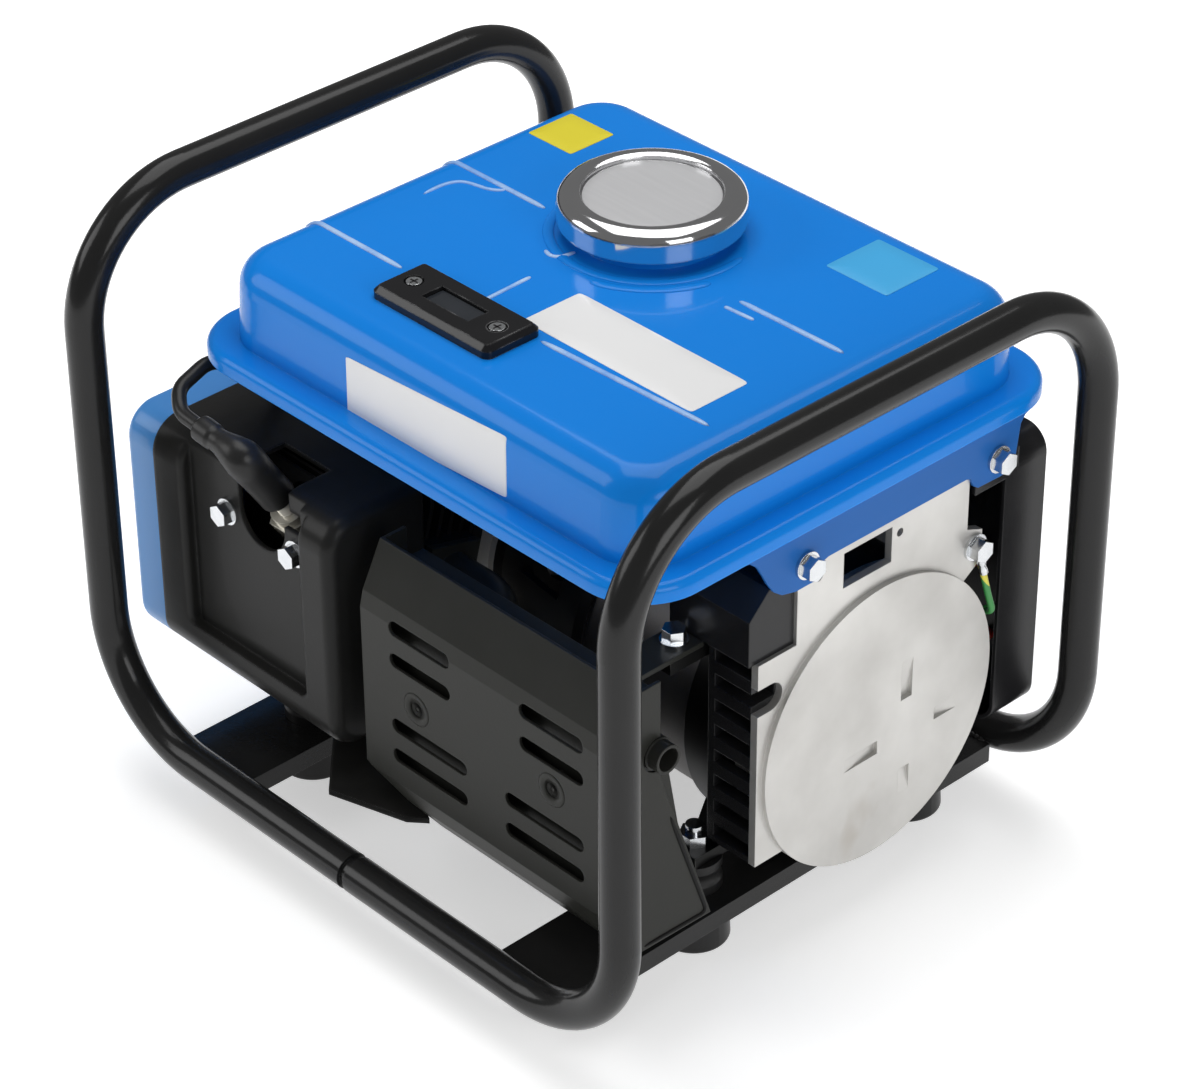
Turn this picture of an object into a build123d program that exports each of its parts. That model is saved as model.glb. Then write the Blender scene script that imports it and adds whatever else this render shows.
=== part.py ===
from build123d import *
import os
from math import cos, sin, radians, hypot

# Open-frame two-stroke portable generator in millimetres, +Z up.
# +X is the alternator end, -X the recoil starter end, -Y the front with muffler and spark plug.
# The origin lies on the floor under the middle of the tube frame.

# Tube frame
TUBE_R = 9.0
TUBE_WALL = 1.6
BEND_R = 60.0
LEG_X = 174.0
LEG_Y = 144.0
FRAME_LOW_Z = 30.0
FRAME_TOP_Z = 299.0
JOINT_GROOVE = 4.0
SPIGOT_REACH = 30.0
SLIP_FIT = 0.05

# Cross rails, welded between the lower tubes
RAIL_X = 109.0
RAIL_WIDTH = 46.0
RAIL_THICK = 2.5
RAIL_LIP = 10.0

# Rubber mounts
FOOT_R = 17.0
FOOT_NECK_R = 15.5
FOOT_EDGE = 2.0
ISOLATOR_R = 13.0
ISOLATOR_WAIST = 2.0
ISOLATOR_HEIGHT = 16.0
STUD_R = 4.0
STUD_LOW_Z = 10.0
STUD_OVER = 10.0
NUT_R = 7.2
NUT_HEIGHT = 6.0
MOUNT_BACK_Y = 103.0
LEFT_MOUNT_FRONT_Y = -78.0
RIGHT_MOUNT_FRONT_Y = -37.0
HOLE_CLEAR = 0.2

# Hex flange bolts
BOLT_R = 3.0
BOLT_FLANGE_R = 6.6
BOLT_FLANGE = 1.6
BOLT_HEX_R = 5.6
BOLT_HEX = 5.4
BOLT_GRIP = 6.0

# Engine bed, a steel plate on the left isolators
BED_THICK = 3.0
BED_LEFT_X = -129.0
BED_RIGHT_X = -46.0
BED_FRONT_Y = -92.0
BED_BACK_Y = 120.0
TONGUE_TIP_X = 12.0
TONGUE_FRONT_Y = -128.0

# Crank line and cylinder
CRANK_Y = 35.0
CRANK_Z = 105.0
CYL_X = -89.0
CYL_TILT = 15.0
STROKE = 40.0
BORE_R = 22.5
PISTON_CLEAR = 0.08
ROD_LENGTH = 80.0
PISTON_CROWN = 16.0
PISTON_SKIRT = 22.0
PISTON_WALL = 3.0
SQUISH = 2.0
SHAFT_R = 8.5
WEB_R = 33.0
WEB_THICK = 13.0
ROD_GAP = 14.0
ROD_SIDE_CLEAR = 0.5
BIG_END_R = 13.0
SMALL_END_R = 9.0
CRANK_PIN_R = 8.0
PISTON_PIN_R = 5.0
WEB_CLEAR = 1.5
RUN_FIT = 0.05

# Crankcase
CASE_R = 47.0
CASE_WALL = 17.0
CASE_FOOT_HALF_X = 30.0
CASE_FOOT_HALF_Y = 42.0
DECK = 54.0
DECK_WIDTH = 68.0
BEARING_R = 20.0
BEARING_WIDTH = 12.0
REED_LAND = 3.0
REED_PORT_R = 13.0
REED_BOSS = 21.0

# Cylinder and head
SLEEVE_R = 28.0
SLEEVE_LOW = 40.0
CYL_FLANGE = 6.0
FIN_WIDTH = 76.0
FIN_CORNER = 8.0
FIN_THICK = 2.0
FIN_PITCH = 7.0
EXHAUST_HEIGHT = 84.0
EXHAUST_R = 9.5
EXHAUST_BOSS = 15.0
EXHAUST_FACE = 44.0
HEAD_BASE = 8.0
HEAD_HEIGHT = 20.0
HEAD_CORE_R = 26.0
CHAMBER_R = 20.0
CHAMBER_DEPTH = 3.0

# Spark plug, boot and ignition lead
PLUG_TILT = 42.0
PLUG_THREAD_R = 7.0
PLUG_REACH = 19.0
PLUG_HEX_R = 11.8
PLUG_HEX = 12.0
PLUG_SHELL_R = 9.0
PLUG_SHELL = 4.0
INSULATOR_R = 5.0
INSULATOR = 30.0
INSULATOR_SHOWN = 9.0
BOOT_R = 9.0
BOOT_RISE = 35.0
BOOT_CUFF = 7.0
BOOT_CUFF_RISE = 0.8
BOOT_ARM = 30.0
BOOT_ARM_R = 5.5
BOOT_ARM_TILT = 5.0
LEAD_R = 3.5
LEAD_SOCKET = 14.0
LEAD_RADII = [14.0, 11.0, 14.0, 12.0, 26.0]
LEAD_LOOP = [(18.0, 4.0, 25.0), (17.0, 22.0, 31.0), (20.0, 42.0, 24.0)]
LEAD_COIL_RUN = 30.0

# Ignition coil beside the flywheel rim
COIL_ANGLE = 138.0
COIL_DEPTH = 14.0
COIL_GAP = 0.8
COIL_LEG = 15.0
COIL_BRIDGE = 5.0
COIL_HALF_WIDTH = 14.5
COIL_BLOCK_HALF = 7.5

# Flywheel with fan blades and starter cup
FLYWHEEL_R = 62.0
FLYWHEEL_DISC = 10.0
FLYWHEEL_HUB_R = 17.0
FAN_BLADE_DEPTH = 11.0
FAN_BLADE_COUNT = 14
FAN_BLADE_LENGTH = 25.0
FAN_BLADE_THICK = 2.2
CUP_R = 31.5
CUP_WALL = 2.5
CUP_DEPTH = 8.0
CUP_GAP = 1.0
FAN_GAP = 2.5
FLYWHEEL_NUT_R = 9.0
FLYWHEEL_NUT = 3.5

# Fan shroud and recoil housing share one outline
SHROUD_FRONT_Y = -122.0
SHROUD_BACK_Y = 108.0
SHROUD_LOW_Z = 64.0
SHROUD_TOP_Z = 187.0
SHROUD_CORNER = 16.0
FAN_CASE_R = 66.5
SHROUD_LEFT_X = -160.0
SHROUD_RIGHT_X = -36.0
SHROUD_WALL = 2.5
FAN_BACK_X = -130.0
COWL_BACK_Y = -66.0
COWL_ROUND = 6.0
RECESS_DEPTH = 6.0
RECESS_LEFT_X = -140.0
RECESS_RIGHT_X = -58.0
RECESS_LOW_Z = 86.0
RECESS_ROUND = 3.0
PLUG_NOTCH_HALF = 16.0
PLUG_NOTCH_DEPTH = 34.0
PLUG_NOTCH_LOW_Z = 150.0
PLUG_WINDOW_RISE = 10.0
SHROUD_BOLT_SPREAD = 24.0
SHROUD_BOLT_Z = 159.0
FAN_EYE_R = 40.0
RECOIL_DEPTH = 21.0
RECOIL_WALL = 2.2
RECOIL_EDGE = 5.0
INLET_SLOT_COUNT = 12
INLET_SLOT_LENGTH = 24.0
INLET_SLOT_WIDTH = 6.0
INLET_SLOT_RING_R = 44.0

# Recoil reel, rope, pawl and grip
AXLE_R = 6.0
REEL_R = 38.0
REEL_GROOVE_R = 30.0
REEL_WIDTH = 8.0
REEL_FLANGE = 2.0
REEL_END_GAP = 1.2
ROPE_R = 1.8
PAWL_RING_R = 15.0
PAWL_PIN_R = 2.0
PAWL_LENGTH = 16.0
PAWL_WIDTH = 5.0
PAWL_THICK = 4.0
GRIP_R = 8.0
GRIP_LENGTH = 66.0
GRIP_STEM_R = 5.0
GRIP_STEM = 8.0
GRIP_REST_GAP = 2.0
GRIP_ANGLE = 15.0
ROPE_TAIL = 52.0
ROPE_HOLE_R = 3.5

# Muffler and its shield
MUFFLER_LEFT_X = -22.0
MUFFLER_RIGHT_X = 141.0
MUFFLER_FRONT_Y = -116.0
MUFFLER_TOP_Z = 182.0
MUFFLER_LOW_Z = 46.0
MUFFLER_BACK_Y = -60.0
SHIELD_THICK = 1.6
MUFFLER_WALL = 1.6
MUFFLER_END_GAP = 8.0
SLOT_WIDTH = 7.5
SLOT_SHORT = 40.0
SLOT_LONG = 50.0
SLOT_EDGE = 19.0
SHIELD_DIMPLES = [(14.0, 114.0), (102.0, 118.0)]
SHIELD_DIMPLE_R = 6.5
SHIELD_CORNER_RISE = 22.0
SHIELD_CORNER_RUN = 56.0
SLOT_ROWS = [(150.5, False), (133.5, False), (98.0, True), (81.5, True)]
PIPE_R = 11.0
PIPE_WALL = 1.5
PIPE_BEND_R = 20.0
PIPE_BEND_X = 0.0
PIPE_FLANGE = 4.0
OUTLET_R = 7.0
OUTLET_COLLAR_R = 7.8
OUTLET_WALL = 1.5
OUTLET_Y = -90.0
OUTLET_Z = 145.0
OUTLET_REACH = 6.0
STRAP_THICK = 2.5
STRAP_HALF = 9.0
STRAP_LAP = 26.0
STRAP_BOLT_Y = -52.0

# Intake side: manifold, carburettor and air filter
MANIFOLD_LENGTH = 11.0
MANIFOLD_FLANGE = 3.0
CARB_LENGTH = 27.0
CARB_HALF = 16.0
CARB_THROAT_R = 9.0
BOWL_R = 15.0
BOWL_DEPTH = 22.0
LEVER_PIN_R = 2.5
CHOKE_ARM = 26.0
CHOKE_LIFT = 1.5
CHOKE_OFFSET = 20.0
THROTTLE_ARM = 17.0
THROTTLE_OFFSET = 7.0
LEVER_THICK = 3.0
LEVER_HALF = 4.0
LEVER_GAP = 0.5
FILTER_WIDTH = 82.0
FILTER_HEIGHT = 76.0
FILTER_DEPTH = 14.0
FILTER_COVER = 12.0
FILTER_WALL = 2.0
FILTER_CORNER = 10.0

# Alternator
BELL_FLANGE = 6.0
STATOR_LEFT_X = 30.0
STATOR_LENGTH = 70.0
STATOR_R = 66.0
STATOR_BORE_R = 40.0
AIR_GAP = 0.6
STATOR_SLOT_COUNT = 18
STATOR_SLOT_WIDTH = 5.0
STATOR_SLOT_DEPTH = 14.0
WINDING_OUT_R = 57.0
WINDING_IN_R = 43.0
WINDING_REACH = 11.0
BELL_WALL = 6.0
BELL_WINDOW_COUNT = 6
BELL_WINDOW_LENGTH = 34.0
BELL_WINDOW_WIDTH = 24.0
ROTOR_MARGIN = 6.0
ROTOR_SLOT_COUNT = 4
ROTOR_SLOT_WIDTH = 10.0
ROTOR_SLOT_DEPTH = 14.0
ROTOR_FAN_R = 50.0
ROTOR_FAN_X = 6.0
ROTOR_FAN_WIDTH = 11.0
ROTOR_FAN_BLADES = 9
END_PLATE_X = 150.0
END_PLATE_THICK = 4.0
END_DISC_R = 72.0
END_DISC_RISE = 2.4
DRUM_R = 70.0
DRUM_WALL = 8.0
HUB_R = 24.0
TAIL_BEARING_R = 15.0
TAIL_BEARING_WIDTH = 10.0
PLATE_LEFT_Y = -40.0
PLATE_LOW_Z = 62.0
PLATE_SHOULDER_Z = 170.0
PLATE_NECK_Y = -17.0
PLATE_NECK_BACK_Y = 90.0
PLATE_TOP_Z = 217.0
PLATE_WINDOW = (11.0, 41.0, 186.0, 204.0)
PLATE_NOTCH = (-41.0, -25.0, 143.0, 157.0)
PLATE_HOLE_YS = [-4.0, 46.0]
PLATE_HOLE_Z = 199.0
PLATE_HOLE_R = 2.0
EARTH_BOLT_Y = 95.0
EARTH_BOLT_Z = 169.0
EARTH_EAR = 9.0
EAR_THICK = 6.0
EAR_HALF_X = 10.0
EAR_HALF_Y = 9.0
EAR_GUSSET = 20.0
DENT_Y = 52.0
DENT_Z = 91.0
DENT_WIDTH = 7.0
DENT_DEPTH = 2.4
DENT_RUNS = [(18.0, 30.0), (18.0, 30.0), (20.0, 19.0), (19.0, 20.0)]
LUG_HALF = 7.0
LUG_X = 111.0
LUG_THICK = 8.0
LUG_TOP_Z = 167.0

# Louvre on the front side of the alternator and the capacitor box above it
LOUVRE_LEFT_X = 120.0
LOUVRE_DEPTH = 26.0
LOUVRE_FIN_COUNT = 8
LOUVRE_SLOT = 6.5
LOUVRE_SLOT_DEPTH = 14.0
LOUVRE_FRAME = 4.0
CAPACITOR_LEFT_X = 100.0
CAPACITOR_FRONT_Y = -44.0
CAPACITOR_TOP_Z = 205.0
CAPACITOR_CHAMFER = 12.0

# Fuel tank
FLANGE_LEFT_X = -148.0
FLANGE_RIGHT_X = 153.0
FLANGE_FRONT_Y = -112.0
FLANGE_BACK_Y = 152.0
FLANGE_LOW_Z = 228.0
FLANGE_THICK = 9.0
FLANGE_CORNER = 32.0
FLANGE_ROLL = 4.5
FLANGE_LIP = 1.0
TANK_INSET = 12.0
TANK_TOP_Z = 278.0
TANK_CORNER = 26.0
TANK_TAPER = 3.0
TANK_EDGE = 15.0
TANK_WALL = 2.0
TRAY_DEPTH = 16.0
TRAY_INSET = 18.0
TRAY_WALL = 1.5
TRAY_CORNER = 22.0
TRAY_EDGE = 4.0
TRAY_FLANGE_INSET = 3.2
BRACKET_THICK = 1.5
# Lower edge of the right bracket, as places along Y and drops under the tank's flange
BRACKET_EDGE = [
    (-56.0, 0.0),
    (-48.0, 1.2),
    (-43.5, 5.0),
    (-40.0, 11.0),
    (-36.8, 17.0),
    (-33.0, 22.5),
    (-28.3, 26.0),
    (-20.0, 28.2),
    (-8.0, 28.2),
    (-4.5, 26.0),
    (-3.4, 20.2),
    (0.0, 19.3),
    (86.0, 19.3),
    (89.0, 20.3),
    (91.0, 25.0),
    (94.0, 27.0),
    (108.4, 27.5),
    (115.5, 26.8),
    (117.5, 24.0),
    (120.3, 5.0),
    (123.0, 1.5),
    (127.0, 0.0),
]
TANK_BOLT_YS = [-14.0, 106.0]
TANK_BOLT_Z = 211.0
LEFT_LEG_X = -132.5
LEFT_LEG_Y0 = -10.0
LEFT_LEG_Y1 = 84.0
LEFT_LEG_FOOT = 18.0

# Filler and cap
FILLER_X = -14.0
FILLER_Y = 55.0
NECK_R = 35.0
NECK_BORE_R = 27.0
NECK_HEIGHT = 6.0
GASKET_THICK = 1.0
GASKET_OUT_R = 34.0
GASKET_IN_R = 27.6
CAP_R = 43.0
CAP_HEIGHT = 13.0
CAP_DISH_R = 32.0
CAP_DISH = 2.0
CAP_EDGE = 4.0
CAP_PLUG_R = 26.4
CAP_PLUG = 6.0

# Fuel gauge and float
GAUGE_X = -19.0
GAUGE_Y = -58.0
GAUGE_LENGTH = 76.0
GAUGE_WIDTH = 32.0
GAUGE_HEIGHT = 6.0
GAUGE_BEVEL = 2.5
GAUGE_CORNER = 4.0
GAUGE_SCREW_R = 1.8
GAUGE_SCREW_HEAD = 1.6
GAUGE_SCREW_SPREAD = 27.0
GAUGE_WINDOW_LENGTH = 30.0
GAUGE_WINDOW_WIDTH = 12.0
GAUGE_WELL = 10.0
GAUGE_WELL_WALL = 2.5
GAUGE_EAR_DROP = 8.0
FLOAT_PIN_R = 2.0
FLOAT_HUB_R = 3.5
FLOAT_ARM = 88.0
FLOAT_ARM_R = 1.5
FLOAT_DROOP = 22.0
FLOAT_R = 9.0
FLOAT_LENGTH = 26.0
POINTER_HALF = 1.2
POINTER_SHORT = 1.5

# Fuel tap and hose
TAP_X = -25.0
TAP_R = 8.0
TAP_LENGTH = 24.0
TAP_SPIGOT_R = 3.0
TAP_SPIGOT = 12.0
TAP_LEVER_ARM = 24.0
HOSE_R = 4.5
HOSE_LAP = 9.0
HOSE_BEND_R = 14.0
INLET_REACH = 8.0
INLET_DROP = 10.0
INLET_OFFSET = 20.0

# Control panel at the back right
PANEL_LEFT_X = 15.0
PANEL_FRONT_Y = 114.0
PANEL_BACK_Y = 141.0
PANEL_LOW_Z = 60.0
PANEL_TOP_Z = 210.0
PANEL_UPSTAND_Z = 222.0
PANEL_WALL = 2.0
PANEL_CORNER = 12.0
PANEL_TAB_Y = 94.0
PANEL_TAB_LOW_Z = 196.0
SOCKET_X = 58.0
SOCKET_Z = 118.0
SOCKET_BODY_R = 23.0
SOCKET_WELL_R = 19.5
SOCKET_WELL = 15.0
SOCKET_BODY = 19.0
SOCKET_FLANGE = 52.0
SOCKET_FLANGE_THICK = 3.0
SOCKET_CORNER = 6.0
SOCKET_PIN_R = 2.4
SOCKET_PIN_PITCH = 19.0
FLAP_THICK = 2.5
FLAP_GAP = 0.4
FLAP_PIN_R = 1.8
FLAP_KNUCKLE_R = 3.4
FLAP_KNUCKLE = 30.0
FLAP_EAR = 5.0
TERMINAL_XS = [100.0, 124.0]
TERMINAL_Z = 88.0
TERMINAL_R = 6.5
TERMINAL_REACH = 10.0
TERMINAL_STEM_R = 3.0
SWITCH_X = 58.0
SWITCH_Z = 184.0
SWITCH_HALF_WIDTH = 7.0
SWITCH_HALF_HEIGHT = 11.0
SWITCH_PIN_R = 1.6
SWITCH_FRAME = 3.0
SWITCH_THROW = 18.0
BREAKER_X = 112.0
BREAKER_Z = 128.0
BREAKER_R = 5.0
BREAKER_REACH = 5.0
BREAKER_GUIDE_R = 8.0
BREAKER_GUIDE = 3.0
BREAKER_TAIL = 6.0
METER_X = 112.0
METER_Z = 182.0
METER_HALF = 22.0
METER_BEZEL = 4.0
METER_DIAL_R = 19.0
METER_PIVOT_DROP = 8.0
NEEDLE_PIN_R = 1.2
NEEDLE_HUB_R = 3.0
NEEDLE_LENGTH = 17.0
NEEDLE_HALF = 0.6
NEEDLE_THICK = 0.8
NEEDLE_LIFT = 1.0

# Earth wire
EARTH_WIRE_R = 1.6
EARTH_WIRE_BEND = 6.0
EARTH_WIRE_LIE = 0.1
EARTH_RUN = [(2.4, 6.6), (9.0, 28.0), (13.0, 40.0)]
EARTH_END_DROPS = [46.0, 48.0]
EARTH_ENTRY = [-4.0, 8.0]

# Worked-out places
RAIL_TOP = FRAME_LOW_Z
SEAT_Z = RAIL_TOP + ISOLATOR_HEIGHT
BED_TOP = SEAT_Z + BED_THICK
CRANK_R = STROKE / 2
CRANK_HALF = ROD_GAP / 2 + WEB_THICK + WEB_CLEAR / 2
CASE_HALF = CRANK_HALF + CASE_WALL
CYL_TOP = CRANK_R + ROD_LENGTH + PISTON_CROWN + SQUISH
HEAD_TOP = CYL_TOP + HEAD_HEIGHT
BOOT_LOW = PLUG_REACH + PLUG_HEX + PLUG_SHELL + INSULATOR_SHOWN
REST_PIN = ROD_LENGTH - CRANK_R
RECOIL_END_X = SHROUD_LEFT_X - RECOIL_DEPTH
REEL_LEFT_X = RECOIL_END_X + RECOIL_WALL + REEL_END_GAP
REEL_RIGHT_X = REEL_LEFT_X + REEL_WIDTH
ROPE_Z = CRANK_Z + (REEL_GROOVE_R + REEL_R) / 2
PLATE_BACK_X = END_PLATE_X - END_PLATE_THICK
STATOR_RIGHT_X = STATOR_LEFT_X + STATOR_LENGTH
CUP_EDGE_X = REEL_RIGHT_X + CUP_GAP
CUP_BASE_X = CUP_EDGE_X + CUP_DEPTH
DISC_RIGHT_X = FAN_BACK_X - SHROUD_WALL - FAN_GAP
DISC_LEFT_X = DISC_RIGHT_X - FLYWHEEL_DISC
MANIFOLD_Y = CRANK_Y + CASE_R + REED_LAND
CARB_Y = MANIFOLD_Y + MANIFOLD_LENGTH
FILTER_Y = CARB_Y + CARB_LENGTH
TAP_Y = CARB_Y + INLET_OFFSET
NECK_TOP = TANK_TOP_Z + NECK_HEIGHT
CAP_LOW_Z = NECK_TOP + GASKET_THICK
TRAY_LOW_Z = FLANGE_LOW_Z - TRAY_DEPTH
FLOAT_Z = TANK_TOP_Z - TANK_WALL - GAUGE_WELL + GAUGE_WELL_WALL

# Engine frame: local +Z runs up the cylinder, local X along the crank
ENGINE = Pos(CYL_X, CRANK_Y, CRANK_Z) * Rot(90 - CYL_TILT, 0, 0)
PLUG = ENGINE * Pos(0, 0, CYL_TOP + CHAMBER_DEPTH) * Rot(-PLUG_TILT, 0, 0)



def box(x0, x1, y0, y1, z0, z1):
    """Block between two corners."""
    return Pos((x0 + x1) / 2, (y0 + y1) / 2, (z0 + z1) / 2) * Box(x1 - x0, y1 - y0, z1 - z0)


def rod_x(x0, x1, y, z, r):
    """Round bar along X."""
    return Pos((x0 + x1) / 2, y, z) * Rot(0, 90, 0) * Cylinder(r, x1 - x0)


def rod_y(y0, y1, x, z, r):
    """Round bar along Y."""
    return Pos(x, (y0 + y1) / 2, z) * Rot(90, 0, 0) * Cylinder(r, y1 - y0)


def rod_z(z0, z1, x, y, r):
    """Round bar along Z."""
    return Pos(x, y, (z0 + z1) / 2) * Cylinder(r, z1 - z0)


def bar(z0, z1, r):
    """Round bar along a local Z, before it is placed."""
    return rod_z(z0, z1, 0, 0, r)


def crank_rod(x0, x1, r):
    """Round bar on the crank line."""
    return rod_x(x0, x1, CRANK_Y, CRANK_Z, r)


def prism_y(points, y0, y1):
    """Polygon of (x, z) points carried along Y."""
    face = make_face(Polyline(*[(x, y0, z) for x, z in points], close=True))
    return extrude(face, amount=y1 - y0, dir=(0, 1, 0))


def prism_x(points, x0, x1):
    """Polygon of (y, z) points carried along X."""
    face = make_face(Polyline(*[(x0, y, z) for y, z in points], close=True))
    return extrude(face, amount=x1 - x0, dir=(1, 0, 0))


def prism_z(points, z0, z1):
    """Polygon of (x, y) points carried along Z."""
    face = make_face(Polyline(*[(x, y, z0) for x, y in points], close=True))
    return extrude(face, amount=z1 - z0, dir=(0, 0, 1))


def turned(profile):
    """Polygon of (x, radius) points turned round the crank line."""
    face = make_face(Polyline(*[(x, CRANK_Y, CRANK_Z + r) for x, r in profile], close=True))
    return revolve(face, axis=Axis((0, CRANK_Y, CRANK_Z), (1, 0, 0)))


def rounded_x(y0, y1, z0, z1, corner, x0, x1):
    """Rounded rectangle in Y and Z carried along X."""
    plane = Plane(origin=(x0, (y0 + y1) / 2, (z0 + z1) / 2), x_dir=(0, 1, 0), z_dir=(1, 0, 0))
    return extrude(plane * RectangleRounded(y1 - y0, z1 - z0, corner), amount=x1 - x0)


def rounded_y(x0, x1, z0, z1, corner, y0, y1):
    """Rounded rectangle in X and Z carried along Y."""
    plane = Plane(origin=((x0 + x1) / 2, y0, (z0 + z1) / 2), x_dir=(-1, 0, 0), z_dir=(0, 1, 0))
    return extrude(plane * RectangleRounded(x1 - x0, z1 - z0, corner), amount=y1 - y0)


def rounded_z(x0, x1, y0, y1, corner, z0, z1, taper=0):
    """Rounded rectangle in X and Y carried up Z, with an optional taper in degrees."""
    plane = Plane(origin=((x0 + x1) / 2, (y0 + y1) / 2, z0))
    return extrude(plane * RectangleRounded(x1 - x0, y1 - y0, corner), amount=z1 - z0, taper=taper)


def hex_bar(z0, z1, r):
    """Hexagon bar along a local Z, r to its corners."""
    return extrude(Pos(0, 0, z0) * RegularPolygon(r, 6), amount=z1 - z0)


def facing(point, direction):
    """Location at a point with its local Z along a direction."""
    return Plane(origin=point, z_dir=direction).location


def flange_bolt(point, direction):
    """Hex flange bolt whose flange sits at a point and whose head looks along a direction."""
    shape = bar(-BOLT_GRIP, 0, BOLT_R) + bar(0, BOLT_FLANGE, BOLT_FLANGE_R)
    shape += hex_bar(BOLT_FLANGE, BOLT_FLANGE + BOLT_HEX, BOLT_HEX_R)
    return facing(point, direction) * shape


def bolt_hole(point, direction):
    """Clearance hole for the shank of a flange bolt."""
    return facing(point, direction) * bar(-BOLT_GRIP - 1, 1, BOLT_R + HOLE_CLEAR)


def tube(points, radii, r):
    """Round tube solid along straight runs joined by tangent arcs."""
    path = FilletPolyline(*points, radius=radii)
    return sweep(Plane(origin=path @ 0, z_dir=path % 0) * Circle(r), path=path)


def group(shapes):
    """Several separate solids in one node."""
    return Compound(children=[solid for shape in shapes for solid in shape.solids()])


MOUNTS = [
    (-RAIL_X, LEFT_MOUNT_FRONT_Y, BED_TOP),
    (-RAIL_X, MOUNT_BACK_Y, BED_TOP),
    (RAIL_X, RIGHT_MOUNT_FRONT_Y, SEAT_Z + EAR_THICK),
    (RAIL_X, MOUNT_BACK_Y, SEAT_Z + EAR_THICK),
]
SHROUD_BOLTS = [
    (CYL_X + side * SHROUD_BOLT_SPREAD, SHROUD_FRONT_Y + RECESS_DEPTH, SHROUD_BOLT_Z) for side in (-1, 1)
]
TANK_BOLTS = [(END_PLATE_X + BRACKET_THICK, y, TANK_BOLT_Z) for y in TANK_BOLT_YS]
EARTH_BOLT = (END_PLATE_X, EARTH_BOLT_Y, EARTH_BOLT_Z)
STRAP_BOLT = (LUG_X, STRAP_BOLT_Y, LUG_TOP_Z + STRAP_THICK)
LEG_BOLTS = [
    (LEFT_LEG_X - LEFT_LEG_FOOT / 2 - 2, y, SHROUD_TOP_Z + BRACKET_THICK)
    for y in (LEFT_LEG_Y0 + LEFT_LEG_FOOT, LEFT_LEG_Y1 - LEFT_LEG_FOOT)
]
GAUGE_SCREW_XS = [GAUGE_X - GAUGE_SCREW_SPREAD, GAUGE_X + GAUGE_SCREW_SPREAD]


def frame_hoop(side):
    """One bent-tube hoop: two bottom stubs, two legs and the top bar."""
    end = side * JOINT_GROOVE / 2
    x = side * LEG_X
    corners = [
        (end, -LEG_Y, FRAME_LOW_Z),
        (x, -LEG_Y, FRAME_LOW_Z),
        (x, -LEG_Y, FRAME_TOP_Z),
        (x, LEG_Y, FRAME_TOP_Z),
        (x, LEG_Y, FRAME_LOW_Z),
        (end, LEG_Y, FRAME_LOW_Z),
    ]
    path = FilletPolyline(*corners, radius=BEND_R)
    section = Plane(origin=path @ 0, z_dir=path % 0) * (Circle(TUBE_R) - Circle(TUBE_R - TUBE_WALL))
    return sweep(section, path=path)


def spigots():
    """Plugs in the left hoop's ends that slip into the right hoop."""
    plugs = []
    for y in (-LEG_Y, LEG_Y):
        plug = rod_x(-SPIGOT_REACH, -JOINT_GROOVE / 2, y, FRAME_LOW_Z, TUBE_R - TUBE_WALL / 2)
        slim = TUBE_R - TUBE_WALL - SLIP_FIT
        plugs.append(plug + rod_x(-JOINT_GROOVE, SPIGOT_REACH, y, FRAME_LOW_Z, slim))
    return plugs


def cross_rail(x):
    """Sheet channel between the lower tubes, open side down, with stud holes."""
    end = LEG_Y - TUBE_R
    half = RAIL_WIDTH / 2
    inner = half - RAIL_THICK
    rail = box(x - half, x + half, -end, end, RAIL_TOP - RAIL_LIP, RAIL_TOP)
    rail -= box(x - inner, x + inner, -end - 1, end + 1, RAIL_TOP - RAIL_LIP - 1, RAIL_TOP - RAIL_THICK)
    for mount_x, mount_y, _ in MOUNTS:
        if abs(mount_x - x) < half:
            rail -= rod_z(0, RAIL_TOP + 1, mount_x, mount_y, STUD_R + HOLE_CLEAR)
    return rail


def rubber_foot(x, y):
    """Tapered rubber foot under a rail, with the stud in its bore."""
    height = RAIL_TOP - RAIL_THICK
    foot = Pos(x, y, height / 2) * Cone(FOOT_R, FOOT_NECK_R, height)
    foot = fillet(foot.edges().sort_by(Axis.Z)[0], FOOT_EDGE)
    return foot - rod_z(STUD_LOW_Z, height + 1, x, y, STUD_R)


def isolator(x, y):
    """Waisted rubber isolator between a rail and the engine."""
    middle = RAIL_TOP + ISOLATOR_HEIGHT / 2
    ring = ISOLATOR_HEIGHT / 2
    body = rod_z(RAIL_TOP, SEAT_Z, x, y, ISOLATOR_R)
    body -= Pos(x, y, middle) * Torus(ISOLATOR_R + ring - ISOLATOR_WAIST, ring - 1)
    return body - rod_z(RAIL_TOP - 1, SEAT_Z + 1, x, y, STUD_R)


def mount_stud(x, y, seat):
    """Stud through foot, rail and isolator with its nut on the seat."""
    nut = Pos(x, y, 0) * hex_bar(seat, seat + NUT_HEIGHT, NUT_R)
    return rod_z(STUD_LOW_Z, seat + STUD_OVER, x, y, STUD_R) + nut


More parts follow.
